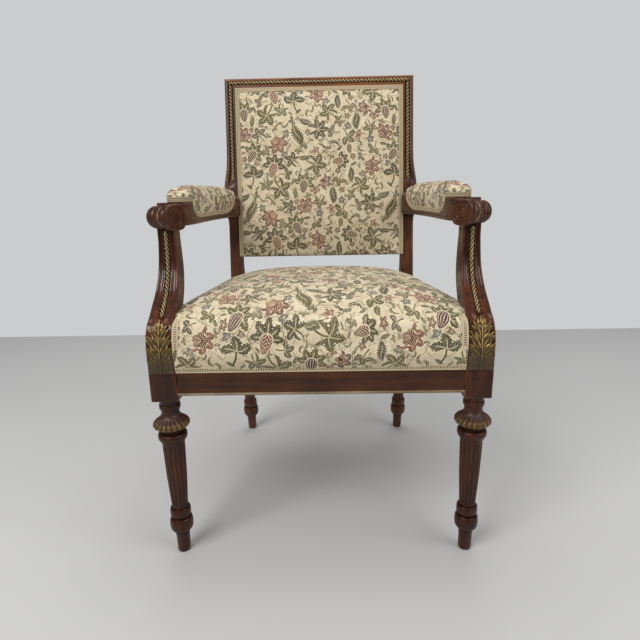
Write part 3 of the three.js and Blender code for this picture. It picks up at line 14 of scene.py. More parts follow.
import bpy
import numpy as np
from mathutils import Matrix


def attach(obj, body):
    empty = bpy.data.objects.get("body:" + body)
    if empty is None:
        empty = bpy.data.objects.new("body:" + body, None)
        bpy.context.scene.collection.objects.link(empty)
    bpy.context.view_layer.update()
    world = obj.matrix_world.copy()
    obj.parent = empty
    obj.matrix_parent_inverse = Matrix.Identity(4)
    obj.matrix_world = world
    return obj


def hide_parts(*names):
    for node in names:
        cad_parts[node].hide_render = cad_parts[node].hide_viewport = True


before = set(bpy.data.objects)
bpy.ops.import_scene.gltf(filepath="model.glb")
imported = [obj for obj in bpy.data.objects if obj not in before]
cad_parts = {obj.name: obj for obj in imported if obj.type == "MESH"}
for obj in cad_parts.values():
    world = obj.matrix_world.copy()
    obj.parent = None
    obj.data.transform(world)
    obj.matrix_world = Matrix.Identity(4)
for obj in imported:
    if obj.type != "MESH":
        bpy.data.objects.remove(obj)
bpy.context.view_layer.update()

log = logging.getLogger("chair")

Piece = bpy.types.Object
Material = bpy.types.Material
Socket = bpy.types.NodeSocket
Array = np.ndarray

LEG_AXIS_DEPTH = 256.967

# Sizes shared by several pieces, in millimetres
SEAT_TOP = 370.0
RAIL_BOTTOM = 328.0
BLOCK_BOTTOM = 317.4
HALF_BLOCK = 23.5
FRONT_AXIS_X = 271.0
BLOCK_INNER_X = 247.5
BLOCK_OUTER_X = 294.5
REAR_AXIS_X = 212.5
REAR_BLOCK_FRONT = 432.0
REAR_BLOCK_BACK = 479.0
BACK_HALF_WIDTH = 235.0
STILE_INNER_X = 204.4
STILE_DEPTH = 31.0
BACK_ROOT_Y = 435.3
BACK_ROOT_HEIGHT = 450.0
BACK_LEAN = math.radians(9.165)
BACK_TOP = 501.4
ROPE_RADIUS = 3.6
ARM_UNDERSIDE = 612.0
ARM_SHOULDER_TOP = 652.0
ARM_HIP_TOP = 688.0
PAD_BOTTOM = 622.0
PAD_TOP = 683.5
MITRE = 0.792
CHANNEL = 5.2
FRAME_WIDTH = 30.6


def in_frame(places: Array) -> Array:
    """Millimetres from the floor and the front legs' axis, as metres in the row frame."""
    return (places - np.array([0.0, LEG_AXIS_DEPTH, 0.0])) / 1000.0


def leaned(places: Array) -> Array:
    """Places of the back, with X across, Y through and Z up its slope, in the chair's millimetres."""
    x, y, z = places[..., 0], places[..., 1], places[..., 2]
    cos, sin = math.cos(BACK_LEAN), math.sin(BACK_LEAN)
    return np.stack([x, BACK_ROOT_Y + y * cos + z * sin, BACK_ROOT_HEIGHT - y * sin + z * cos], axis=-1)


def stile_front(height: Array | float) -> Array:
    """Depth of the rear post's front face at a height."""
    return np.maximum(BACK_ROOT_Y + (np.asarray(height) - BACK_ROOT_HEIGHT) * math.tan(BACK_LEAN), REAR_BLOCK_FRONT)


def eased(value: Array | float, low: float, high: float) -> Array:
    """Smooth rise from 0 at low to 1 at high."""
    share = np.clip((np.asarray(value, float) - low) / (high - low), 0.0, 1.0)
    return share * share * (3 - 2 * share)


def spline(points: Sequence[Sequence[float]], count: int) -> Array:
    """Evenly spaced places along a smooth curve through points.

    Args:
        points: the places that the curve passes through.
        count: how many places to return.

    Returns:
        An array of count places.
    """
    held = np.asarray(points, float)
    padded = np.vstack([held[:1], held, held[-1:]])
    share = np.linspace(0, 1, 24, endpoint=False)[:, None]
    spans = []
    for a, b, c, d in zip(padded[:-3], padded[1:-2], padded[2:-1], padded[3:]):
        start, end = (c - a) / 2, (d - b) / 2
        cube = (2 * b - 2 * c + start + end) * share**3
        spans.append(cube + (-3 * b + 3 * c - 2 * start - end) * share**2 + start * share + b)
    return spaced(np.vstack([*spans, held[-1:]]), count)


def spaced(line: Array, count: int) -> Array:
    """Evenly spaced places along a line of places."""
    steps = np.concatenate([[0], np.cumsum(np.linalg.norm(np.diff(line, axis=0), axis=1))])
    marks = np.linspace(0, steps[-1], count)
    return np.stack([np.interp(marks, steps, line[:, k]) for k in range(line.shape[1])], axis=1)


def mirrored(places: Array, side: int) -> Array:
    """Places for the chair's left side as they are, or mirrored for its right side."""
    return places * np.array([side, 1.0, 1.0])


def deselect() -> None:
    """Leaves nothing selected, because operators act on all that is."""
    bpy.ops.object.select_all(action="DESELECT")


def only(piece: Piece) -> None:
    """Selects one piece and makes it the active one."""
    deselect()
    piece.select_set(True)
    bpy.context.view_layer.objects.active = piece


def sheet_on(
    name: str,
    places: Array,
    wrapped: bool = True,
    closed: bool = True,
    marks: dict[str, Array] | None = None,
) -> Piece:
    """Adds a grid and lays it on a form, then joins its seam, closes its ends and turns its faces out.

    Args:
        name: the piece's name.
        places: rows by columns of places, in millimetres.
        wrapped: whether the last column joins the first.
        closed: whether open edges are filled.
        marks: values to keep at each place, by attribute name.

    Returns:
        The new piece.
    """
    marks = dict(marks or {})
    if wrapped:
        places = np.concatenate([places, places[:, :1]], axis=1)
        marks = {key: np.concatenate([value, value[:, :1]], axis=1) for key, value in marks.items()}
    rows, cols = places.shape[:2]
    deselect()
    bpy.ops.mesh.primitive_grid_add(x_subdivisions=cols - 1, y_subdivisions=rows - 1, size=1)
    piece = bpy.context.object
    piece.name = name
    mesh = piece.data
    mesh.name = name
    mesh.vertices.foreach_set("co", in_frame(places).astype(np.float32).ravel())
    for key, value in marks.items():
        kind, slot = ("FLOAT_VECTOR", "vector") if value.ndim == 3 else ("FLOAT", "value")
        mesh.attributes.new(key, kind, "POINT").data.foreach_set(slot, value.astype(np.float32).ravel())
    bpy.ops.object.mode_set(mode="EDIT")
    bpy.ops.mesh.select_all(action="SELECT")
    bpy.ops.mesh.remove_doubles(threshold=2e-6)
    if closed:
        bpy.ops.mesh.fill_holes(sides=0)
        bpy.ops.mesh.select_all(action="SELECT")
    bpy.ops.mesh.normals_make_consistent(inside=False)
    bpy.ops.object.mode_set(mode="OBJECT")
    return piece


def closed_up(piece: Piece) -> None:
    """Fills a piece's open edges and turns its faces out."""
    only(piece)
    bpy.ops.object.mode_set(mode="EDIT")
    bpy.ops.mesh.select_all(action="SELECT")
    bpy.ops.mesh.fill_holes(sides=0)
    bpy.ops.mesh.select_all(action="SELECT")
    bpy.ops.mesh.normals_make_consistent(inside=False)
    bpy.ops.object.mode_set(mode="OBJECT")


def bar(
    name: str,
    low: Sequence[float],
    high: Sequence[float],
    edge: float = 1.2,
    margin: float = 3.0,
) -> Piece:
    """Adds a block of wood with an inset margin and rounded edges.

    Args:
        name: the piece's name.
        low: its lowest corner, in millimetres.
        high: its highest corner.
        edge: the rounding of its edges.
        margin: how far the inset keeps from the edges.

    Returns:
        The new piece.
    """
    first, last = in_frame(np.array(low, float)), in_frame(np.array(high, float))
    deselect()
    bpy.ops.mesh.primitive_cube_add(size=1, location=tuple((first + last) / 2), scale=tuple(last - first))
    piece = bpy.context.object
    piece.name = name
    bpy.ops.object.transform_apply(location=True, rotation=True, scale=True)
    bpy.ops.object.mode_set(mode="EDIT")
    bpy.ops.mesh.select_all(action="SELECT")
    bpy.ops.mesh.inset(thickness=margin / 1000, use_individual=True)
    bpy.ops.mesh.select_all(action="DESELECT")
    bpy.ops.mesh.edges_select_sharp(sharpness=math.radians(40))
    bpy.ops.mesh.bevel(offset=edge / 1000, segments=3, profile=0.5)
    bpy.ops.object.mode_set(mode="OBJECT")
    return piece


def joined(name: str, pieces: Sequence[Piece]) -> Piece:
    """Joins pieces into the first, under one name."""
    deselect()
    for piece in pieces:
        piece.select_set(True)
    bpy.context.view_layer.objects.active = pieces[0]
    bpy.ops.object.join()
    pieces[0].name = name
    pieces[0].data.name = name
    return pieces[0]


def mark_relief(piece: Piece, sharpest: float = 0.45, passes: int = 1) -> None:
    """Keeps how far each place stands out as an edge, or sinks into a hollow, as the attribute relief.

    Args:
        piece: the piece to mark.
        sharpest: the curvature, in 1/mm, that counts as a full edge.
        passes: how often the marks are averaged with their neighbours.
    """
    mesh = piece.data
    count = len(mesh.vertices)
    places = np.empty(count * 3, np.float32)
    mesh.vertices.foreach_get("co", places)
    normals = np.empty(count * 3, np.float32)
    mesh.vertex_normals.foreach_get("vector", normals)
    places, normals = places.reshape(-1, 3) * 1000, normals.reshape(-1, 3)
    ends = np.empty(len(mesh.edges) * 2, np.int32)
    mesh.edges.foreach_get("vertices", ends)
    a, b = ends.reshape(-1, 2).T
    step = places[b] - places[a]
    reach = np.maximum((step**2).sum(1), 1e-4)
    bend_a = -2 * (step * normals[a]).sum(1) / reach
    bend_b = 2 * (step * normals[b]).sum(1) / reach
    links = np.maximum(np.bincount(a, minlength=count) + np.bincount(b, minlength=count), 1)
    bend = (np.bincount(a, bend_a, count) + np.bincount(b, bend_b, count)) / links
    bend = np.clip(bend / sharpest, -1, 1)
    for _ in range(passes):
        around = np.bincount(a, bend[b], count) + np.bincount(b, bend[a], count)
        bend = (bend + around / links) / 2
    found = mesh.attributes.get("relief") or mesh.attributes.new("relief", "FLOAT", "POINT")
    found.data.foreach_set("value", bend.astype(np.float32))


def smoothed(piece: Piece, angle: float = 50.0) -> None:
    """Shades a piece smooth, with its sharper edges kept."""
    only(piece)
    bpy.ops.object.shade_smooth_by_angle(angle=math.radians(angle))


def applied(piece: Piece, kind: str, settings: dict[str, object]) -> None:
    """Adds a modifier with its settings and applies it."""
    only(piece)
    modifier = piece.modifiers.new(kind.title(), kind)
    for key, value in settings.items():
        setattr(modifier, key, value)
    bpy.ops.object.modifier_apply(modifier=modifier.name)


def rope_along(name: str, path: Array, radius: float, lead: float, strands: int = 2) -> Piece:
    """Lays a twisted rope along a path.

    Args:
        name: the piece's name.
        path: the places of its middle, in millimetres.
        radius: its outer radius.
        lead: the length of one full turn, negative to twist the other way.
        strands: how many strands it has.

    Returns:
        The new piece.
    """
    length = np.linalg.norm(np.diff(path, axis=0), axis=1).sum()
    line = spaced(path, max(int(length / 0.8), 12))
    along = np.gradient(line, axis=0)
    along /= np.linalg.norm(along, axis=1)[:, None]
    guide = np.array([1.0, 0, 0]) if abs(along[:, 0]).mean() < 0.7 else np.array([0, 0, 1.0])
    side = np.cross(along, guide)
    side /= np.linalg.norm(side, axis=1)[:, None]
    up = np.cross(along, side)
    turns = np.linspace(0, math.tau, 36, endpoint=False)
    run = np.linspace(0, length, len(line))
    wind = turns[None, :] - math.tau * run[:, None] / lead
    ridge = np.abs(np.cos(strands / 2 * wind))
    out = radius * (0.5 + 0.5 * ridge**1.9)
    fade = np.minimum(1, np.minimum(run, length - run) / 3)[:, None] ** 0.5
    out = out * (0.35 + 0.65 * fade)
    ring = np.cos(turns)[None, :, None] * side[:, None] + np.sin(turns)[None, :, None] * up[:, None]
    # the dips between the strands show the wood and take painted shade
    return sheet_on(name, line[:, None] + ring * out[..., None], marks={"bare": 1 - eased(ridge, 0.55, 0.84)})


class Side(Enum):
    """The sitter's two sides, with the sign of X on each."""

    LEFT = 1
    RIGHT = -1

    @property
    def word(self) -> str:
        """The side as it stands in a piece's name."""
        return self.name.lower()


# Finishes


def colour(red: int, green: int, blue: int) -> tuple[float, float, float, float]:
    """A colour written as it looks, as the linear value that shaders take."""
    parts = [value / 255 for value in (red, green, blue)]
    linear = [part / 12.92 if part <= 0.04045 else ((part + 0.055) / 1.055) ** 2.4 for part in parts]
    return (*linear, 1.0)


class Value:
    """A number on its way through a material, so that its maths reads as maths."""

    def __init__(self, mix: "Mixer", socket: Socket) -> None:
        """Keeps the socket that carries the number."""
        self.mix = mix
        self.socket = socket

    def _math(self, operation: str, *others: "Value | float") -> "Value":
        """Result of a Math node on this number and others."""
        return self.mix.math(operation, self, *others)

    def __add__(self, other: "Value | float") -> "Value":
        """Sum."""
        return self._math("ADD", other)

    __radd__ = __add__

    def __mul__(self, other: "Value | float") -> "Value":
        """Product."""
        return self._math("MULTIPLY", other)

    __rmul__ = __mul__

    def __sub__(self, other: "Value | float") -> "Value":
        """Difference."""
        return self._math("SUBTRACT", other)

    def __rsub__(self, other: float) -> "Value":
        """Difference from a plain number."""
        return self.mix.math("SUBTRACT", other, self)

    def __truediv__(self, other: "Value | float") -> "Value":
        """Quotient."""
        return self._math("DIVIDE", other)

    def __rtruediv__(self, other: float) -> "Value":
        """Quotient of a plain number by this."""
        return self.mix.math("DIVIDE", other, self)

    def __pow__(self, other: float) -> "Value":
        """Power."""
        return self._math("POWER", other)

    def __abs__(self) -> "Value":
        """Size without its sign."""
        return self._math("ABSOLUTE")

    def sin(self) -> "Value":
        """Sine, in radians."""
        return self._math("SINE")

    def cos(self) -> "Value":
        """Cosine, in radians."""
        return self._math("COSINE")

    def fract(self) -> "Value":
        """Part after the decimal point."""
        return self._math("FRACT")

    def most(self, other: "Value | float") -> "Value":
        """Larger of two."""
        return self._math("MAXIMUM", other)

    def rise(self, low: float, high: float) -> "Value":
        """Smooth step from 0 at low to 1 at high, or down where high is the smaller."""
        start, end = (low, high) if low < high else (high, low)
        settings = {"interpolation_type": "SMOOTHSTEP"}
        values = {"Value": self, "From Min": start, "From Max": end, "To Min": 0.0, "To Max": 1.0}
        stepped = Value(self.mix, self.mix.node("ShaderNodeMapRange", settings, values).outputs[0])
        return stepped if low < high else 1 - stepped


Source = Value | Socket | float | tuple


class Mixer:
    """Builds one material's nodes."""

    def __init__(self, name: str) -> None:
        """Starts a material with a shader and an output."""
        self.material = bpy.data.materials.new(name)
        self.material.use_nodes = True
        self.tree = self.material.node_tree
        self.tree.nodes.clear()
        self.shader = self.tree.nodes.new("ShaderNodeBsdfPrincipled")
        output = self.tree.nodes.new("ShaderNodeOutputMaterial")
        self.tree.links.new(self.shader.outputs[0], output.inputs[0])

    def set_input(self, socket: Socket, value: Source) -> None:
        """Links a value to a socket, or sets it there."""
        if isinstance(value, Value):
            self.tree.links.new(value.socket, socket)
        elif isinstance(value, Socket):
            self.tree.links.new(value, socket)
        else:
            socket.default_value = value

    def node(self, kind: str, settings: dict[str, object], values: dict[str | int, Source]) -> bpy.types.Node:
        """Adds a node.

        Args:
            kind: the node's type.
            settings: its own settings, or the stops of its ramp.
            values: what its sockets take, by name or number.

        Returns:
            The new node.
        """
        made = self.tree.nodes.new(kind)
        for key, value in settings.items():
            if key == "stops":
                ramp = made.color_ramp.elements
                while len(ramp) < len(value):
                    ramp.new(0.5)
                for element, (place, shade) in zip(ramp, value):
                    element.position = place
                    element.color = shade
            else:
                setattr(made, key, value)
        for key, value in values.items():
            self.set_input(made.inputs[key], value)
        return made

    def math(self, operation: str, *values: Value | float) -> Value:
        """Result of a Math node."""
        made = self.node("ShaderNodeMath", {"operation": operation}, dict(enumerate(values)))
        return Value(self, made.outputs[0])

    def blend(self, share: Source, first: Source, second: Source, way: str = "MIX") -> Socket:
        """Colour between two others."""
        settings = {"data_type": "RGBA", "blend_type": way}
        return self.node("ShaderNodeMix", settings, {0: share, 6: first, 7: second}).outputs[2]

    def value(self, number: float) -> Value:
        """A plain number as a value."""
        made = self.node("ShaderNodeValue", {}, {})
        made.outputs[0].default_value = number
        return Value(self, made.outputs[0])

    def noise(self, place: Socket, scale: float, detail: float = 3.0, rough: float = 0.55) -> Value:
        """Noise about 0.5 at a scale per metre."""
        values = {"Vector": place, "Scale": scale, "Detail": detail, "Roughness": rough}
        return Value(self, self.node("ShaderNodeTexNoise", {}, values).outputs[0])

    def place(self) -> Socket:
        """The surface's own place."""
        return self.node("ShaderNodeTexCoord", {}, {}).outputs["Object"]

    def stretched(self, place: Socket, scale: Sequence[float]) -> Socket:
        """A place scaled along each axis."""
        return self.node("ShaderNodeMapping", {}, {"Vector": place, "Scale": tuple(scale)}).outputs[0]

    def mark(self, name: str) -> Value:
        """A number kept on the mesh."""
        return Value(self, self.node("ShaderNodeAttribute", {"attribute_name": name}, {}).outputs["Fac"])

    def mark_vector(self, name: str) -> Socket:
        """Three numbers kept on the mesh."""
        return self.node("ShaderNodeAttribute", {"attribute_name": name}, {}).outputs["Vector"]

    def parts(self, vector: Socket) -> tuple[Value, Value, Value]:
        """The three numbers of a vector."""
        made = self.node("ShaderNodeSeparateXYZ", {}, {0: vector})
        return tuple(Value(self, socket) for socket in made.outputs)

    def bump(self, height: Value, strength: float, distance: float) -> Socket:
        """Normal that follows a height."""
        values = {"Height": height, "Strength": strength, "Distance": distance}
        return self.node("ShaderNodeBump", {}, values).outputs[0]

    def finish(self, values: dict[str, Source]) -> Material:
        """Sets the shader's sockets and returns the material."""
        for key, value in values.items():
            self.set_input(self.shader.inputs[key], value)
        return self.material


class Grain(Enum):
    """The way that the wood's grain runs, as the stretch of its pattern."""

    UPRIGHT = (1.0, 1.0, 0.07)
    ACROSS = (0.07, 1.0, 1.0)
    DEEP = (1.0, 0.07, 1.0)


@dataclass(frozen=True)
class Walnut:
    """Dark polished walnut, worn lighter along its edges, with dark pores and painted shade darkening its grooves."""

    name: str = "walnut"
    dark: tuple = colour(34, 16, 9)
    mid: tuple = colour(82, 39, 19)
    worn: tuple = colour(160, 100, 60)
    # dark of the pores, and painted shade in the grooves
    pore_and_groove_shade: tuple = colour(18, 9, 7)
    coat: float = 0.1

    def mixed(self, grain: Grain) -> Material:
        """The material, with its grain running one way."""
        mix = Mixer(f"{self.name}_{grain.name.lower()}")
        place = mix.place()
        along = mix.stretched(place, grain.value)
        figure = mix.noise(along, 95, 5, 0.6)
        pores = mix.noise(along, 900, 2, 0.6)
        cloud = mix.noise(place, 14, 3)
        relief = mix.mark("relief")
        tone = (figure * 0.75 + cloud * 0.5 - 0.12).rise(0.25, 0.85)
        wood = mix.blend(tone, self.dark, self.mid)
        rubbed = relief.rise(0.3, 1.0) * mix.noise(place, 60, 3).rise(0.35, 0.7) * 0.6
        wood = mix.blend(rubbed, wood, self.worn)
        # painted shade: darkens the grooves where the surface curves in
        wood = mix.blend((relief * -1).rise(0.12, 0.7) * 0.8, wood, self.pore_and_groove_shade)
        wood = mix.blend(pores.rise(0.62, 0.74) * 0.35, wood, self.pore_and_groove_shade)
        height = figure * 0.5 + pores * 0.5
        return mix.finish({
            "Base Color": wood,
            "Roughness": 0.24 + mix.noise(place, 45, 3) * 0.2,
            "Coat Weight": self.coat,
            "Coat Roughness": 0.08,
            "Specular IOR Level": 0.24,
            "Normal": mix.bump(height, 0.12, 0.0004),
        })


@dataclass(frozen=True)
class Beech:
    """Plain pale frame wood, left unpolished where it doesn't show."""

    light: tuple = colour(176, 134, 92)
    dark: tuple = colour(140, 98, 62)

    def mixed(self) -> Material:
        """The material."""
        mix = Mixer("beech")
        place = mix.place()
        fleck = mix.noise(mix.stretched(place, (0.1, 1, 1)), 160, 4)
        wood = mix.blend(fleck.rise(0.35, 0.65), self.light, self.dark)
        return mix.finish({
            "Base Color": wood,
            "Roughness": 0.55 + fleck * 0.2,
            "Normal": mix.bump(fleck, 0.15, 0.0004),
        })


@dataclass(frozen=True)
class Gilt:
    """Old gilding over carving: brighter gold on its ridges, partly in random patches and partly a painted highlight,
    and dark brown painted shade in its hollows.
    """

    name: str = "gilt"
    # brightest gold: random patches, and a painted highlight along the ridges
    bright_and_highlight: tuple = colour(212, 176, 112)
    mid: tuple = colour(120, 94, 50)
    dull: tuple = colour(62, 48, 28)
    # painted shade in the carving's hollows
    shaded_hollow: tuple = colour(30, 20, 13)
    wood: tuple = colour(66, 34, 21)
    cover: float = 0.0

    def mixed(self) -> Material:
        """The material."""
        mix = Mixer(self.name)
        place = mix.place()
        relief = mix.mark("relief")
        bare = mix.mark("bare")
        patch = mix.noise(place, 130, 4, 0.6)
        fine = mix.noise(place, 700, 3)
        # painted highlight: the gold is lighter on the ridges, and it also varies in random patches
        lift = (relief * 0.5 + patch * 0.55 + 0.16 + self.cover).rise(0.2, 0.85)
        gold = mix.blend(lift, self.dull, self.mid)
        gold = mix.blend((relief * 0.6 + patch * 1.2 - 0.5 + self.cover - bare * 0.6).rise(0.15, 0.7), gold, self.bright_and_highlight)
        # painted shade: the hollows of the carving are darkened
        shaded_hollow = (relief * -1).rise(0.02, 0.5)
        gold = mix.blend(shaded_hollow * 0.92, gold, self.shaded_hollow)
        rubbed = (mix.noise(place, 60, 3).rise(0.58, 0.72) * 0.5).most(bare)
        gold = mix.blend(rubbed, gold, self.wood)
        # painted shade: the hollows go darker still where the gilding is marked as gone
        gold = mix.blend(shaded_hollow * bare * 0.8, gold, self.shaded_hollow)
        return mix.finish({
            "Base Color": gold,
            "Metallic": (1 - shaded_hollow) * (1 - rubbed) * 0.55,
            "Roughness": 0.33 + fine * 0.2 + shaded_hollow * 0.2,
            "Normal": mix.bump(patch + fine * 0.4, 0.15, 0.0005),
        })


class Dye(Enum):
    """The tapestry's wools."""

    PALE = colour(214, 196, 158)
    DARK_GREEN = colour(52, 49, 14)
    GREEN = colour(78, 73, 20)
    OLIVE = colour(100, 93, 42)
    ROSE = colour(116, 52, 42)
    BRICK = colour(98, 44, 32)
    PINK = colour(132, 70, 54)
    BLUE = colour(62, 74, 84)
    PURPLE = colour(80, 44, 52)
    OCHRE = colour(150, 106, 58)


class Core(Enum):
    """What lies at the middle of a motif."""

    EYE = 0.0
    STRIPES = 1.0
    SCALES = 2.0


@dataclass(frozen=True)
class Motif:
    """One motif of the tapestry: a fan or ring of blades, a second ring of petals and a core.

    Sizes within the motif are shares of its radius. The radius is in millimetres on the cloth.
    """

    radius: float
    blades: int = 5
    spread: int = 5
    width: float = 0.24
    start: float = 0.06
    teeth: float = 0.34
    swirl: float = 0.0
    petals: int = 0
    petal_reach: float = 0.5
    core: Core = Core.EYE
    core_size: float = 0.0
    core_long: float = 1.0
    stem: float = 0.0
    dye: Dye = Dye.GREEN
    petal_dye: Dye = Dye.ROSE
    core_dye: Dye = Dye.OCHRE

    def looks(self) -> tuple[float, ...]:
        """Everything that the cloth keeps of it, but its place."""
        limit = -2.0 if self.spread >= self.blades else math.cos(self.spread * math.pi / self.blades)
        return (
            self.blades, self.width, limit, self.start, self.teeth, self.swirl,
            self.petals, self.petal_reach, self.core.value, self.core_size, self.core_long, self.stem,
            *self.dye.value[:3], *self.petal_dye.value[:3], *self.core_dye.value[:3],
        )


REPEAT_WIDTH = 350.0
REPEAT_HEIGHT = 178.0

# Motifs in the order that they are laid, the largest first
BIG_MOTIFS = (
    Motif(29, 8, 5, 0.32, 0.1, 0.36, 0.15, 0, 0.5, Core.SCALES, 0.42, 1.5, 0, Dye.DARK_GREEN, Dye.ROSE, Dye.ROSE),
    Motif(28, 5, 4, 0.42, 0.02, 0.42, 0.3, stem=1, dye=Dye.GREEN),
    Motif(27, 7, 4, 0.36, 0.3, 0.3, 0.45, 6, 0.6, Core.STRIPES, 0.2, 1.4, 0, Dye.BRICK, Dye.ROSE, Dye.OCHRE),
    Motif(28, 5, 3, 0.44, 0.03, 0.42, 0.5, stem=1, dye=Dye.DARK_GREEN),
    Motif(27, 8, 5, 0.32, 0.1, 0.36, -0.2, 0, 0.5, Core.STRIPES, 0.44, 1.35, 0, Dye.GREEN, Dye.ROSE, Dye.PURPLE),
    Motif(27, 1, 1, 0.6, -0.96, 0.5, 0.5, dye=Dye.GREEN),
    Motif(26, 7, 6, 0.33, 0.03, 0.4, -0.3, stem=1, dye=Dye.DARK_GREEN),
    Motif(25, 7, 4, 0.36, 0.3, 0.3, -0.5, 5, 0.58, Core.STRIPES, 0.2, 1.4, 0, Dye.PINK, Dye.BRICK, Dye.ROSE),
    Motif(24, 5, 4, 0.4, 0.03, 0.42, 0.4, stem=1, dye=Dye.GREEN),
    Motif(23, 2, 2, 0.34, 0.02, 0.5, 2.1, dye=Dye.DARK_GREEN),
    Motif(23, 5, 3, 0.42, 0.03, 0.42, -0.5, stem=1, dye=Dye.GREEN),
    Motif(22, 8, 5, 0.33, 0.1, 0.36, -0.4, 0, 0.5, Core.SCALES, 0.44, 1.4, 0, Dye.DARK_GREEN, Dye.ROSE, Dye.BRICK),
    Motif(21, 1, 1, 0.6, -0.96, 0.46, -0.5, dye=Dye.DARK_GREEN),
    Motif(20, 5, 4, 0.4, 0.03, 0.4, 0.35, stem=1, dye=Dye.DARK_GREEN),
    Motif(19, 6, 4, 0.4, 0.26, 0.3, 0.4, 4, 0.58, Core.EYE, 0.24, 1.2, 0, Dye.PURPLE, Dye.ROSE, Dye.BRICK),
    Motif(18, 5, 3, 0.42, 0.03, 0.4, 0.7, stem=1, dye=Dye.GREEN),
    Motif(17, 2, 2, 0.34, 0.02, 0.46, -2.2, dye=Dye.GREEN),
)
SMALL_MOTIFS = (
    Motif(19, 5, 4, 0.4, 0.03, 0.4, 0.4, stem=1, dye=Dye.GREEN),
    Motif(18, 1, 1, 0.56, -0.95, 0.44, 0.5, dye=Dye.DARK_GREEN),
    Motif(17, 5, 3, 0.42, 0.03, 0.4, 0.5, stem=1, dye=Dye.DARK_GREEN),
    Motif(15, 5, 4, 0.4, 0.04, 0.36, -0.5, stem=1, dye=Dye.GREEN),
    Motif(14, 1, 1, 0.56, -0.95, 0.44, -0.6, dye=Dye.GREEN),
    Motif(13, 5, 4, 0.44, 0.12, 0.2, 0.4, 4, 0.6, Core.EYE, 0.2, 1.0, 0, Dye.ROSE, Dye.PINK, Dye.BRICK),
    Motif(13, 5, 3, 0.4, 0.03, 0.36, 0.5, stem=1, dye=Dye.DARK_GREEN),
    Motif(12, 2, 2, 0.34, 0.03, 0.4, 2.2, dye=Dye.DARK_GREEN),
    Motif(10, 5, 5, 0.4, 0.12, 0.1, 0.2, core_size=0.26, dye=Dye.BLUE, core_dye=Dye.PALE),
    Motif(10, 5, 3, 0.4, 0.04, 0.36, -0.5, stem=1, dye=Dye.GREEN),
    Motif(9, 1, 1, 0.5, -0.95, 0.3, 0.5, dye=Dye.DARK_GREEN),
    Motif(8, 5, 5, 0.4, 0.1, 0.2, 0.2, core_size=0.26, dye=Dye.BRICK, core_dye=Dye.PALE),
    Motif(8, 5, 3, 0.38, 0.04, 0.3, 0.6, stem=1, dye=Dye.OLIVE),
    Motif(6, 1, 1, 0.5, -0.95, 0.2, 0.4, dye=Dye.GREEN),
)

Laid = tuple[Motif, float, float, float]


def repeats(x: float, y: float) -> list[tuple[float, float, int]]:
    """A motif's places in the rows and columns round its own, with the mirror of each."""
    places = []
    for row in (-1, 0, 1, 2):
        flip = 1 if row % 2 == 0 else -1
        base = (x if flip > 0 else REPEAT_WIDTH / 2 - x) % REPEAT_WIDTH
        places += [(base + column * REPEAT_WIDTH, y + row * REPEAT_HEIGHT, flip) for column in (-1, 0, 1)]
    return places


def scattered(kinds: Sequence[Motif], rounds: int, seed: int, clear: float, others: Sequence[Laid] = ()) -> list[Laid]:
    """Lays motifs in the free places of the repeat.

    Args:
        kinds: the motifs, largest first.
        rounds: how often the list is gone through.
        seed: where the sequence of tries starts, so that each run gives the same cloth.
        clear: the least distance between two motifs.
        others: motifs of another layer, whose circles are kept clear.

    Returns:
        Each motif with its place and turn.
    """
    draw = random.Random(seed)
    laid: list[Laid] = []
    taken = [(a, b, other.radius * 0.64 - clear) for other, x, y, _ in others for a, b, _ in repeats(x, y)]
    for _ in range(rounds):
        for kind in kinds:
            best, spot = 1e9, None
            held = np.array(taken or [(1e6, 1e6, 0.0)])
            for _ in range(420):
                x, y = draw.uniform(0, REPEAT_WIDTH), draw.uniform(0, REPEAT_HEIGHT)
                room = (np.hypot(held[:, 0] - x, held[:, 1] - y) - held[:, 2]).min() - kind.radius - clear
                own = min(math.hypot(a - x, b - y) for a, b, _ in repeats(x, y) if (a, b) != (x, y)) - 2 * kind.radius
                room = min(room, own - clear)
                if 0 <= room < best:
                    best, spot = room, (x, y)
            if spot:
                laid.append((kind, *spot, draw.uniform(0, math.tau)))
                taken += [(a, b, kind.radius) for a, b, _ in repeats(*spot)]
    return laid


def laid_out(laid: Sequence[Laid]) -> Array:
    """All motifs of one full repeat and its margin, a row each: place, size, turn, mirror and looks."""
    rows = []
    for motif, x, y, turn in laid:
        for a, b, flip in repeats(x, y):
            if -60 < a < REPEAT_WIDTH + 60 and -60 < b < 2 * REPEAT_HEIGHT + 60:
                rows.append((a, b, motif.radius, turn, flip, *motif.looks()))
    return np.array(rows, np.float32)


MARK_NAMES = ("blades", "edges", "petals", "core", "dye", "petal_dye", "core_dye")


def woven_marks(cloth: Array, motifs: Array, layer: str) -> dict[str, Array]:
    """What each place of a cloth needs to draw its nearest motif.

    Args:
        cloth: places on the cloth, in millimetres, one a row.
        motifs: the laid out motifs.
        layer: the layer's name, which starts each attribute's name.

    Returns:
        The attributes by name.
    """
    x = np.mod(cloth[:, 0], REPEAT_WIDTH).astype(np.float32)
    y = np.mod(cloth[:, 1], 2 * REPEAT_HEIGHT).astype(np.float32)
    best = np.full(len(x), 1e9, np.float32)
    second = np.full(len(x), 1e9, np.float32)
    chosen = np.zeros(len(x), np.int32)
    for index, (cx, cy, radius) in enumerate(motifs[:, :3]):
        away = np.hypot(x - cx, y - cy) - radius
        nearer = away < best
        second = np.where(nearer, best, np.minimum(second, away))
        best = np.where(nearer, away, best)
        chosen[nearer] = index
    picked = motifs[chosen]
    dx, dy = (x - picked[:, 0]) * picked[:, 4], y - picked[:, 1]
    cos, sin = np.cos(picked[:, 3]), np.sin(picked[:, 3])
    across = (dx * cos + dy * sin) / picked[:, 2]
    up = (-dx * sin + dy * cos) / picked[:, 2]
    marks = {f"{layer}_place": np.column_stack([across, up, (second - best) / 2])}
    for number, name in enumerate(MARK_NAMES):
        marks[f"{layer}_{name}"] = picked[:, 5 + 3 * number:8 + 3 * number]
    return marks


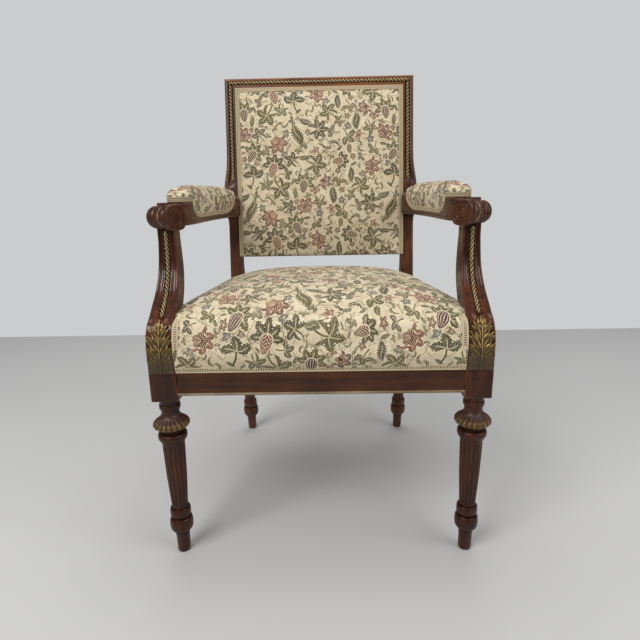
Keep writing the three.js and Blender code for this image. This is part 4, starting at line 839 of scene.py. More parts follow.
@dataclass(frozen=True)
class Tapestry:
    """Wool tapestry: motifs in two layers over a cream ground with fine tendrils."""

    ground: tuple = colour(224, 209, 178)
    slub: tuple = colour(202, 184, 148)
    tendril: tuple = colour(120, 104, 70)
    outline: tuple = colour(40, 36, 26)

    def ring(
        self, mix: Mixer, out: Value, turn: Value, count: Value, start: Source, end: Source, width: Source, teeth: Source
    ) -> tuple[Value, Value, Value, Value]:
        """One ring of blades or petals.

        Args:
            mix: the material's nodes.
            out: distance from the middle.
            turn: bearing, in radians.
            count: how many blades a full ring has.
            start: where they start.
            end: where they end.
            width: the half width of each.
            teeth: how deep their edges are cut.

        Returns:
            How far inside a blade the place is, the share along it, and the place across it as a share and as a distance.
        """
        fold = (((turn * count / math.tau + 0.5).fract() - 0.5) * math.tau) / count.most(1.0)
        along = (out * fold.cos() - start) / (end - start)
        across = out * fold.sin()
        body = (along * (1 - along)).most(0.0) ** 0.6 * 2.3
        saw = (along * (1 - start) * 4.2).fract()
        half = (body * width * (1 - saw * teeth)).most(0.004)
        return (abs(across) / half).rise(1.0, 0.86), along, across / half, across

    def layer(self, mix: Mixer, name: str, under: Socket, wobble: Value) -> Socket:
        """Weaves one layer of motifs over what lies under it.

        Args:
            mix: the material's nodes.
            name: the layer's name.
            under: the colour below.
            wobble: the small unevenness of the threads.

        Returns:
            The colour with the layer on it.
        """
        across, up, gap = mix.parts(mix.mark_vector(f"{name}_place"))
        count, width, limit = mix.parts(mix.mark_vector(f"{name}_blades"))
        start, teeth, swirl = mix.parts(mix.mark_vector(f"{name}_edges"))
        petals, reach, pattern = mix.parts(mix.mark_vector(f"{name}_petals"))
        size, long, stem = mix.parts(mix.mark_vector(f"{name}_core"))
        dye, petal_dye, core_dye = (mix.mark_vector(f"{name}_{key}") for key in ("dye", "petal_dye", "core_dye"))
        across, up = across + wobble, up + wobble
        out = mix.math("SQRT", across * across + up * up)
        bearing = mix.math("ARCTAN2", up, across) + swirl * out
        shown = gap.rise(0.5, 1.1)
        pale = colour(228, 212, 176)
        # Stem of a fan
        bend = abs(up + (across * 3.0).sin() * 0.09)
        stalk = bend.rise(0.07, 0.04) * stem * across.rise(0.05, 0.0) * across.rise(-1.0, -0.9)
        woven = mix.blend(stalk * shown, under, dye)
        # Blades on a pale edge, with a pale midrib, fine side veins and a darker half
        inside, along, side, off = self.ring(mix, out, bearing, count, start, 1.0, width, teeth)
        spread = (bearing.cos() - limit).rise(0.0, 0.02) * shown
        woven = mix.blend(abs(side).rise(1.6, 1.35) * along.rise(0.0, 0.1) * spread, woven, self.ground)
        deep = mix.blend(0.6, dye, self.outline)
        light = mix.blend(0.44, dye, pale)
        vein = abs((along * (1 - start) * 6.4 - abs(side) * 1.5).fract() - 0.5) * 2
        blade = mix.blend(vein.rise(0.45, 0.75) * abs(side).rise(0.9, 0.7) * 0.72, dye, light)
        blade = mix.blend(vein.rise(0.4, 0.15) * 0.5, blade, deep)
        blade = mix.blend(side.rise(-0.1, 0.1) * 0.35, blade, deep)
        blade = mix.blend(abs(side).rise(0.74, 0.9) * 0.7, blade, deep)
        blade = mix.blend(abs(off).rise(0.035, 0.02) * along.rise(0.8, 0.6) * 0.8, blade, pale)
        woven = mix.blend(inside * spread, woven, blade)
        # Inner ring of petals
        inside, along, side, off = self.ring(mix, out, bearing + 0.5, petals, mix.value(0.06), reach, reach * 0.5, 0.12)
        lobe = petals.rise(0.5, 1.0) * shown
        woven = mix.blend(abs(side).rise(1.45, 1.25) * along.rise(0.0, 0.1) * along.rise(1.0, 0.97) * lobe, woven, pale)
        petal_deep = mix.blend(0.5, petal_dye, self.outline)
        streak = abs((side * 2.0).fract() - 0.5) * 2
        petal = mix.blend(streak.rise(0.66, 0.86) * along.rise(0.1, 0.4) * 0.9, petal_dye, pale)
        petal = mix.blend(abs(side).rise(0.7, 0.88) * 0.8, petal, petal_deep)
        woven = mix.blend(inside * lobe, woven, petal)
        # Core: an eye, a striped bud or an overlapping cone
        x = (across + (long - 1) * 0.6) / (size * long).most(0.01)
        y = up / (size * (0.86 + 0.3 * x)).most(0.01)
        away = mix.math("SQRT", x * x + y * y)
        held = size.rise(0.02, 0.05) * shown
        woven = mix.blend((away + x * 0.12).rise(1.13, 1.05) * held, woven, pale)
        bud = (away + x * 0.12).rise(1.0, 0.93) * held
        stripe = ((y / (1.25 - x * x).most(0.2)) * 2.7 + 0.5).fract()
        striped = mix.blend(abs(stripe - 0.5).rise(0.34, 0.42), core_dye, pale)
        scale = ((x * 2.5 - abs(abs(y) - 0.45) * 2.6).fract() - 0.5) * 2
        scaled = mix.blend(abs(scale).rise(0.62, 0.8), core_dye, pale)
        scaled = mix.blend(abs(scale).rise(0.3, 0.1) * 0.6, scaled, mix.blend(0.6, core_dye, self.outline))
        eye = mix.blend(away.rise(0.55, 0.7), core_dye, self.outline)
        middle = mix.blend(pattern.rise(0.4, 0.6), eye, striped)
        middle = mix.blend(pattern.rise(1.4, 1.6), middle, scaled)
        middle = mix.blend(away.rise(0.84, 0.95) * 0.7, middle, mix.blend(0.5, core_dye, self.outline))
        return mix.blend(bud, woven, middle)

    def mixed(self) -> Material:
        """The material."""
        mix = Mixer("tapestry")
        cloth = mix.mark_vector("cloth")
        across, up, _ = mix.parts(cloth)
        thread = mix.noise(mix.stretched(cloth, (1, 0.08, 1)), 1600, 2, 0.6)
        weft = mix.noise(mix.stretched(cloth, (0.06, 1, 1)), 1400, 2, 0.6)
        cloud = mix.noise(cloth, 22, 3)
        wobble = (mix.noise(cloth, 700, 2) - 0.5) * 0.07
        ground = mix.blend((weft * 0.6 + cloud * 0.5).rise(0.38, 0.7), self.slub, self.ground)
        for scale, here in ((34, 52), (47, 61)):
            line = abs(mix.noise(cloth, scale, 0.5) - 0.5).rise(0.017, 0.009)
            ground = mix.blend(line * mix.noise(cloth, here, 1).rise(0.48, 0.53) * 0.75, ground, self.tendril)
        cover = self.layer(mix, "under", ground, wobble)
        cover = self.layer(mix, "over", cover, wobble)
        worn = mix.blend((cloud * 0.6 + thread * 0.5).rise(0.45, 0.75) * 0.16, cover, self.ground)
        shade = mix.blend((weft * 0.5 + thread * 0.5).rise(0.6, 0.36) * 0.2, worn, colour(84, 68, 50))
        ribs = (up * (math.tau / 0.0016)).sin() * 0.5 + (across * (math.tau / 0.0021)).sin() * 0.3
        return mix.finish({
            "Base Color": shade,
            "Roughness": 0.86,
            "Sheen Weight": 0.1,
            "Sheen Roughness": 0.5,
            "Specular IOR Level": 0.25,
            "Normal": mix.bump(ribs * 0.5 + thread + weft, 0.35, 0.0005),
        })


@dataclass(frozen=True)
class Braid:
    """Gimp braid: cream cords with ribs in dull pink and olive between them."""

    cord: tuple = colour(188, 170, 134)
    rib: tuple = colour(104, 82, 62)
    olive: tuple = colour(146, 134, 100)
    shade: tuple = colour(96, 76, 56)

    def mixed(self, name: str, rib_pitch: float, ribbed: float) -> Material:
        """The material.

        Args:
            name: the material's name.
            rib_pitch: the length of one coloured rib, in millimetres.
            ribbed: how strongly the ribs are coloured.

        Returns:
            The braid's material.
        """
        mix = Mixer(name)
        run, across, _ = mix.parts(mix.mark_vector("braid"))
        relief = mix.mark("relief")
        beat = (run / rib_pitch).fract()
        middle = abs(across).rise(0.52, 0.42)
        base = mix.blend(mix.noise(mix.place(), 900, 2), self.cord, colour(206, 190, 156))
        base = mix.blend(middle * beat.rise(0.45, 0.55) * ribbed, base, self.rib)
        base = mix.blend(middle * (run / (rib_pitch * 2)).fract().rise(0.9, 0.97) * ribbed, base, self.olive)
        valley = abs((across * (1.5 * math.pi)).cos()).rise(0.5, 0.15)
        base = mix.blend(valley * (0.75 - ribbed * 0.75), base, self.shade)
        base = mix.blend((relief * -1).rise(0.05, 0.6) * 0.75, base, self.shade)
        twist = ((run / 1.6 + across * 3).fract() - 0.5) * 2
        return mix.finish({
            "Base Color": base,
            "Roughness": 0.82,
            "Sheen Weight": 0.1,
            "Normal": mix.bump(abs(twist) + mix.noise(mix.place(), 1500, 2), 0.4, 0.0005),
        })


@dataclass(frozen=True)
class Jute:
    """Coarse brown webbing and hessian."""

    light: tuple = colour(168, 138, 98)
    dark: tuple = colour(112, 84, 54)

    def mixed(self) -> Material:
        """The material."""
        mix = Mixer("jute")
        x, y, z = mix.parts(mix.place())
        grid = (x * 2600).sin() * (y * 2600).sin() + (z * 2600).sin() * 0.4
        patch = mix.noise(mix.place(), 120, 4)
        cloth = mix.blend((grid * 0.4 + patch).rise(0.1, 0.9), self.dark, self.light)
        return mix.finish({"Base Color": cloth, "Roughness": 0.95, "Normal": mix.bump(grid, 0.4, 0.0006)})


@dataclass(frozen=True)
class CurledHair:
    """Dark curled stuffing."""

    light: tuple = colour(96, 76, 56)
    dark: tuple = colour(44, 32, 24)

    def mixed(self) -> Material:
        """The material."""
        mix = Mixer("curled_hair")
        curl = mix.noise(mix.place(), 420, 5, 0.7)
        return mix.finish({
            "Base Color": mix.blend(curl.rise(0.35, 0.65), self.dark, self.light),
            "Roughness": 0.95,
            "Normal": mix.bump(curl, 0.6, 0.002),
        })


@dataclass(frozen=True)
class SpringSteel:
    """Dull copper-washed spring wire."""

    clean: tuple = colour(150, 140, 126)
    rust: tuple = colour(96, 66, 48)

    def mixed(self) -> Material:
        """The material."""
        mix = Mixer("spring_steel")
        spot = mix.noise(mix.place(), 300, 4)
        return mix.finish({
            "Base Color": mix.blend(spot.rise(0.5, 0.65), self.clean, self.rust),
            "Metallic": spot.rise(0.7, 0.5) * 0.85,
            "Roughness": 0.32 + spot * 0.25,
        })


@dataclass(frozen=True)
class Studio:
    """Pale floor."""

    floor: tuple = colour(196, 195, 193)

    def mixed(self) -> Material:
        """The floor's material."""
        mix = Mixer("studio_floor")
        tone = mix.noise(mix.place(), 1.2, 3)
        shade = mix.blend(tone, self.floor, colour(201, 200, 198))
        return mix.finish({"Base Color": shade, "Roughness": 0.75 + tone * 0.1})


@dataclass
class Finishes:
    """Every material of the chair."""

    upright: Material = field(default_factory=lambda: Walnut().mixed(Grain.UPRIGHT))
    across: Material = field(default_factory=lambda: Walnut().mixed(Grain.ACROSS))
    deep: Material = field(
        default_factory=lambda: Walnut(
            "arm_walnut", colour(46, 24, 16), colour(98, 56, 35), coat=0.25
        ).mixed(Grain.DEEP)
    )
    rail: Material = field(default_factory=lambda: Walnut(
        "rail_walnut", colour(40, 21, 9), colour(84, 46, 20)
    ).mixed(Grain.ACROSS))
    polished: Material = field(default_factory=lambda: Walnut(
        "polished_walnut", colour(44, 21, 11), colour(106, 53, 27), coat=0.4
    ).mixed(Grain.UPRIGHT))
    # a lighter copy of the walnut for the rear posts, partly painted light standing for the light on the upper frame
    stile: Material = field(default_factory=lambda: Walnut(
        "lit_post_walnut", colour(52, 29, 18), colour(106, 64, 38), colour(196, 140, 92), coat=0.2
    ).mixed(Grain.UPRIGHT))
    # a lighter copy still for the crest, partly painted light standing for the light on its top
    crest: Material = field(default_factory=lambda: Walnut(
        "lit_crest_walnut", colour(88, 50, 28), colour(150, 98, 60), colour(210, 160, 112), coat=0.25
    ).mixed(Grain.ACROSS))
    bead: Material = field(default_factory=lambda: Walnut(
        "rubbed_bead", colour(104, 84, 62), colour(160, 142, 114), colour(186, 170, 142)
    ).mixed(Grain.ACROSS))
    peg: Material = field(default_factory=lambda: Walnut(
        "peg_walnut", colour(16, 9, 6), colour(30, 16, 10), colour(60, 34, 20)
    ).mixed(Grain.DEEP))
    beech: Material = field(default_factory=lambda: Beech().mixed())
    gilt: Material = field(default_factory=lambda: Gilt().mixed())
    leaf: Material = field(default_factory=lambda: Gilt(
        "gilt_leaf", mid=colour(118, 94, 52), dull=colour(76, 60, 34), wood=colour(62, 49, 28)
    ).mixed())
    rope: Material = field(default_factory=lambda: Gilt(
        "gilt_rope", colour(194, 172, 124), colour(128, 106, 66), colour(84, 66, 42), colour(34, 24, 15),
        colour(62, 46, 29), -0.06
    ).mixed())
    tapestry: Material = field(default_factory=lambda: Tapestry().mixed())
    gimp: Material = field(default_factory=lambda: Braid().mixed("seat_gimp_braid", 4.0, 0.9))
    plain_gimp: Material = field(
        default_factory=lambda: Braid(
            cord=colour(150, 128, 90), shade=colour(78, 60, 42)
        ).mixed("back_gimp_braid", 3.0, 0.1)
    )
    jute: Material = field(default_factory=lambda: Jute().mixed())
    hair: Material = field(default_factory=lambda: CurledHair().mixed())
    steel: Material = field(default_factory=lambda: SpringSteel().mixed())


def dressed(
    piece: Piece,
    material: Material,
    node: str | None = None,
    angle: float = 50.0,
    sharpest: float = 0.45,
) -> Piece:
    """Gives a finished piece its finish and its place in the model.

    Args:
        piece: the piece.
        material: its material.
        node: the CAD node that it stands for, if any.
        angle: the edge angle, in degrees, up to which it is shaded smooth.
        sharpest: the curvature that counts as a full edge.

    Returns:
        The same piece.
    """
    smoothed(piece, angle)
    mark_relief(piece, sharpest)
    piece.data.materials.clear()
    piece.data.materials.append(material)
    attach(piece, "root")
    if node:
        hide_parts(node)
    log.info("%s: %d faces", piece.name, len(piece.data.polygons))
    return piece


@dataclass
class TurnedLeg:
    """A leg turned below its block, with a gadrooned gilt bulb, a fluted shaft and ringed foot."""

    height: float = 317.4
    bulb: float = 32.5
    flutes: int = 14
    gadroons: int = 20
    flute_depth: float = 2.1
    gadroon_depth: float = 3.0
    around: int = 160
    # Shares of the height down from the block and of the bulb's radius: top, bottom, edge, belly
    mouldings: tuple = (
        (0.0, 0.036, 0.56, 0.51),
        (0.036, 0.066, 0.5, 0.575),
        (0.066, 0.093, 0.5, 0.49),
        (0.196, 0.21, 0.56, 0.54),
        (0.21, 0.253, 0.62, 0.8),
        (0.253, 0.268, 0.64, 0.665),
        (0.7, 0.757, 0.446, 0.59),
        (0.757, 0.765, 0.44, 0.42),
        (0.765, 0.85, 0.44, 0.665),
        (0.85, 0.866, 0.46, 0.44),
    )
    bulb_span: tuple = (0.093, 0.196)
    shaft_span: tuple = (0.27, 0.7)

    def profile(self, gilded: bool) -> tuple[Array, Array]:
        """Shares down and radii of the turning, or of its bulb."""
        top, bottom = self.bulb_span
        if gilded:
            step = np.linspace(0, 1, 40)
            downs = (0, 0.14, 0.3, 0.44, 0.55, 0.64, 0.73, 0.81, 0.89, 0.96, 1)
            outs = (0.5, 0.55, 0.72, 0.91, 0.99, 1.0, 0.96, 0.87, 0.74, 0.63, 0.58)
            line = spline(list(zip(downs, outs)), 40)
            return (
                np.concatenate([[top + 0.004], top + (bottom - top) * line[:, 0], [bottom - 0.004]]),
                np.concatenate([[0.42], line[:, 1], [0.42]]) * self.bulb,
            )
        shares, radii = [], []
        for start, end, edge, belly in self.mouldings:
            step = np.linspace(0.0, 1, 11)
            swell = np.sqrt(np.clip(1 - (2 * step - 1) ** 2, 0, 1))
            shares.append(start + (end - start) * (0.5 - 0.5 * np.cos(step * math.pi)))
            radii.append(edge + (belly - edge) * swell)
        core = np.linspace(top, bottom, 4)
        shares.append(core)
        radii.append(np.full(4, 0.46))
        first, last = self.shaft_span
        ease = np.linspace(0, 1, 64)
        shaft = first + (last - first) * (ease - 0.06 * np.sin(math.tau * ease))
        shares.append(shaft)
        radii.append(np.interp(shaft, [0.27, 0.49, 0.7], [0.62, 0.56, 0.446]))
        foot = np.array([0.87, 0.88, 0.9, 0.93, 0.96, 0.985, 0.994, 0.999, 1.0])
        shares.append(foot)
        radii.append(np.array([0.4, 0.395, 0.385, 0.38, 0.375, 0.37, 0.36, 0.335, 0.29]))
        share, radius = np.concatenate(shares), np.concatenate(radii)
        order = np.argsort(share, kind="stable")
        return share[order], radius[order] * self.bulb

    def bare(self) -> Array:
        """How much of the bulb's gilding is missing, which also deepens the painted shade in its hollows: its top is
        plain wood.
        """
        share = self.profile(True)[0]
        top, bottom = self.bulb_span
        return np.repeat(0.35 + 0.65 * eased((share - top) / (bottom - top), 0.5, 0.3)[:, None], self.around, axis=1)

    def surface(self, gilded: bool) -> Array:
        """Places of the turning, upright under the origin, with its top at height 0."""
        share, radius = self.profile(gilded)
        turns = np.linspace(0, math.tau, self.around, endpoint=False)
        out = np.repeat(radius[:, None], self.around, axis=1)
        down = share * self.height
        if gilded:
            step = np.abs(np.mod(turns * self.gadroons / math.tau, 1) * 2 - 1)
            notch = self.gadroon_depth * (1 - np.sqrt(np.clip(1 - (0.985 * step) ** 2, 0, 1)))
            belly = eased(radius, 0.52 * self.bulb, 0.8 * self.bulb)
            out = out - notch[None, :] * belly[:, None]
        else:
            first, last = (value * self.height for value in self.shaft_span)
            pitch = math.tau / self.flutes
            step = np.abs(np.mod(turns / pitch, 1) * 2 - 1) / 0.74
            half = radius * pitch / 2 * 0.74
            end = np.minimum(down - first - 4, last - 6 - down)
            tip = np.clip((half - end) / half, 0, 5)
            open_part = np.sqrt(np.clip(1 - step[None, :] ** 2 - tip[:, None] ** 2, 0, 1))
            out = out - self.flute_depth * open_part * (radius / 20)[:, None]
        ring = np.stack([np.cos(turns), np.sin(turns)], axis=1)
        places = np.zeros((len(share), self.around, 3))
        places[..., :2] = out[..., None] * ring[None]
        places[..., 2] = -down[:, None]
        return places


@dataclass
class Legs:
    """The four legs with their blocks, and the rear posts that rise from them."""

    finishes: Finishes
    leg: TurnedLeg = field(default_factory=TurnedLeg)
    rear_share: float = 0.96
    rear_foot: float = 507.5
    flare: float = 9.5
    rope_inset: float = 14.9
    rope_start: float = 250.7

    def front(self, side: Side) -> None:
        """Builds one front leg."""
        at = np.array([FRONT_AXIS_X, 0, BLOCK_BOTTOM])
        turning = sheet_on("turning", mirrored(self.leg.surface(False) + at, side.value))
        edges = sorted((BLOCK_INNER_X * side.value, BLOCK_OUTER_X * side.value))
        low, high = (edges[0], -HALF_BLOCK, BLOCK_BOTTOM), (edges[1], HALF_BLOCK, SEAT_TOP - 0.05)
        block = bar("block", low, high, 1.4)
        name = f"{side.word}_front_leg"
        dressed(joined(f"{name}_carved", [block, turning]), self.finishes.upright, name, 40)
        bulb = sheet_on(
            f"{name}_gadroons", mirrored(self.leg.surface(True) + at, side.value), marks={"bare": self.leg.bare()}
        )
        dressed(bulb, self.finishes.gilt, None, 40, 0.3)
        deselect()
        bpy.ops.mesh.primitive_cylinder_add(
            radius=0.003, depth=0.0242, vertices=32, rotation=(math.pi / 2, 0, 0),
            location=tuple(in_frame(np.array([268.0 * side.value, 12 - HALF_BLOCK, SEAT_TOP - 16.5]))),
        )
        bpy.ops.object.transform_apply(location=True, rotation=True, scale=True)
        peg = bpy.context.object
        peg.name = f"{side.word}_peg_whittled"
        dressed(peg, self.finishes.peg, f"{side.word}_peg")

    def rear(self, side: Side) -> None:
        """Builds one rear leg, raked, with its block and stile."""
        middle = (REAR_BLOCK_FRONT + REAR_BLOCK_BACK) / 2
        rake = math.atan((self.rear_foot - middle) / BLOCK_BOTTOM)
        leg = TurnedLeg(BLOCK_BOTTOM / math.cos(rake), 32.5 * self.rear_share)
        name = f"{side.word}_rear_post"
        pieces = []
        for gilded in (False, True):
            places = leg.surface(gilded)
            x, y, z = places[..., 0], places[..., 1], places[..., 2]
            turned = np.stack([x, y * math.cos(rake) - z * math.sin(rake), y * math.sin(rake) + z * math.cos(rake)], -1)
            turned = turned + np.array([REAR_AXIS_X, middle, BLOCK_BOTTOM])
            turned[..., 2] = np.maximum(turned[..., 2], 0.0)
            marks = {"bare": leg.bare()} if gilded else None
            pieces.append(sheet_on(f"{name}_turning", mirrored(turned, side.value), marks=marks))
        post = sheet_on("post", mirrored(self.post(), side.value))
        dressed(joined(f"{name}_carved", [post, pieces[0]]), self.finishes.stile, name, 40)
        pieces[1].name = f"{name}_gadroons"
        dressed(pieces[1], self.finishes.gilt, None, 40, 0.3)

    def face(self, inset: Array, carved: Array) -> Array:
        """Depth of the stile's front moulding at each distance from its outer edge."""
        return stile_face(inset, carved, self.rope_inset)

    def post(self) -> Array:
        """Places of the block and stile, a section to each row, from the leg up to the mitre."""
        heights = np.concatenate([
            [BLOCK_BOTTOM, BLOCK_BOTTOM + 0.4, BLOCK_BOTTOM + 1.4, BLOCK_BOTTOM + 4],
            np.linspace(324, SEAT_TOP, 8), np.linspace(376, 600, 34), np.linspace(604, 800, 52),
            np.linspace(806, 947, 28),
        ])
        marks = [317.4, 370, 396.3, 422.6, 481, 512, 602.5, 621.7, 652, 688, 716.45, 735.4, 773.3, 945]
        slim = np.interp(heights, marks, [0, 0, 0.3, 0.7, 0.95, 1, 1, 1, 1, 1, 1, 1, 1, 1])
        bow = np.interp(heights, marks, [0, 0, 0, 0, 0, 0, 0, 0.8, 1, 0.95, 0.42, 0.12, 0, 0])
        bow = np.convolve(np.pad(bow, 3, mode="edge"), np.ones(7) / 7, mode="valid")
        front = stile_front(heights)
        back = front + 47 + (STILE_DEPTH / math.cos(BACK_LEAN) - 47) * slim
        inner = 190 + (STILE_INNER_X - 190) * slim
        outer = BACK_HALF_WIDTH + self.flare * bow
        slope = (heights - BACK_ROOT_HEIGHT) / math.cos(BACK_LEAN)
        carved = eased(slope, self.rope_start - 14, self.rope_start - 2)
        inset = np.concatenate([
            [0, 0.4, 1.2, 2.4, 3.8, 5.2, 7.4, 8.9, 9.3, 9.7], np.linspace(9.9, 19.9, 13),
            [20.1, 20.5, 20.9, 21.4, 23, 25, 27, 29, 30.6],
        ])
        rows = []
        for i, height in enumerate(heights):
            width = outer[i] - inner[i]
            share = inset * width / 30.6
            share[:22] = inset[:22] * (1 if carved[i] > 0 else min(width / 30.6, 1))
            face = self.face(inset, carved[i])
            across = outer[i] - share
            depth = front[i] + face
            low = np.array([inner[i], inner[i], inner[i] + 1.2, inner[i] + 4])
            far = np.array([front[i] + 4, back[i] - 4, back[i], back[i]])
            right = np.array([outer[i] - 4, outer[i] - 1.2, outer[i], outer[i]])
            near = np.array([back[i], back[i], back[i] - 1.2, front[i] + 9])
            far[1] = back[i] - 1.2
            rows.append(np.stack([
                np.concatenate([across, low, right]),
                np.concatenate([depth, far, near]),
                np.full(len(across) + 8, height),
            ], axis=1))
        places = np.array(rows)
        edge = np.clip(outer[:, None] - places[..., 0], 0, 30.6)
        limit = BACK_ROOT_HEIGHT + (BACK_TOP - MITRE * edge) * math.cos(BACK_LEAN)
        lean_drop = (places[..., 1] - stile_front(places[..., 2])) * math.sin(BACK_LEAN) * math.cos(BACK_LEAN)
        places[..., 2] = np.minimum(places[..., 2], limit - np.maximum(lean_drop, 0))
        over = places[..., 2] < np.array(heights)[:, None] - 1e-6
        shift = (np.array(heights)[:, None] - places[..., 2]) * math.tan(BACK_LEAN)
        places[..., 1] = np.where(over, places[..., 1] - shift, places[..., 1])
        return places

    def build(self) -> None:
        """Builds all four."""
        for side in Side:
            self.front(side)
            self.rear(side)


def stile_face(inset: Array, carved: float, rope: float) -> Array:
    """Depth of the back frame's front moulding: rounded edge, rope channel and inner fillet.

    Args:
        inset: distances from the outer edge.
        carved: 1 where the channel is cut, 0 where the face is plain.
        rope: the distance of the rope's middle from the outer edge.

    Returns:
        How far the face lies behind its plane, at each distance.
    """
    round_edge = CHANNEL - np.sqrt(np.clip(CHANNEL**2 - np.clip(CHANNEL - inset, 0, CHANNEL) ** 2, 0, None))
    channel = np.sqrt(np.clip(CHANNEL**2 - (inset - rope) ** 2, 0, None)) * 0.95
    quirk = 0.9 * np.exp(-(((inset - 9.2) / 0.35) ** 2)) + 0.9 * np.exp(-(((inset - 20.7) / 0.35) ** 2))
    return round_edge + carved * (channel + quirk)


@dataclass
class Rails:
    """The seat rails, with a worn bead under the front one."""

    finishes: Finishes

    def build(self) -> None:
        """Builds the four rails."""
        body = bar("rail", (-247.2, -21.5, RAIL_BOTTOM + 0.6), (247.2, 4.5, SEAT_TOP), 1.0)
        turns = np.linspace(0, math.tau, 16, endpoint=False)
        along = np.linspace(-247.2, 247.2, 60)
        ring = np.stack([np.zeros(16), np.cos(turns) * 2.4, np.sin(turns) * 2.4], axis=1)
        bead = along[:, None, None] * np.array([1.0, 0, 0]) + ring[None] + np.array([0, -21.1, RAIL_BOTTOM + 2.6])
        strip = sheet_on("bead", bead)
        body.name, strip.name = "front_seat_rail_planed", "front_seat_rail_bead"
        dressed(body, self.finishes.rail, "front_seat_rail")
        dressed(strip, self.finishes.bead)
        rear = bar("rear_seat_rail_planed", (-189.7, 451, RAIL_BOTTOM), (189.7, 477, SEAT_TOP), 1.0)
        dressed(rear, self.finishes.across, "rear_seat_rail")
        for side in Side:
            start, end = np.array([279.5, 23.8]), np.array([220.0, 431.7])
            length = np.linalg.norm(end - start)
            rail = bar("rail", (-13, 0, RAIL_BOTTOM), (13, length, SEAT_TOP), 1.0)
            places = np.empty(len(rail.data.vertices) * 3)
            rail.data.vertices.foreach_get("co", places)
            places = places.reshape(-1, 3) * 1000 + np.array([0, LEG_AXIS_DEPTH, 0])
            share = places[:, 1:2] / length
            middle = start + (end - start) * share
            set_on = np.column_stack([middle[:, 0] + places[:, 0], middle[:, 1], places[:, 2]])
            rail.data.vertices.foreach_set("co", in_frame(mirrored(set_on, side.value)).ravel())
            only(rail)
            bpy.ops.object.mode_set(mode="EDIT")
            bpy.ops.mesh.select_all(action="SELECT")
            bpy.ops.mesh.normals_make_consistent(inside=False)
            bpy.ops.object.mode_set(mode="OBJECT")
            rail.name = f"{side.word}_seat_rail_planed"
            dressed(rail, self.finishes.deep, f"{side.word}_seat_rail")


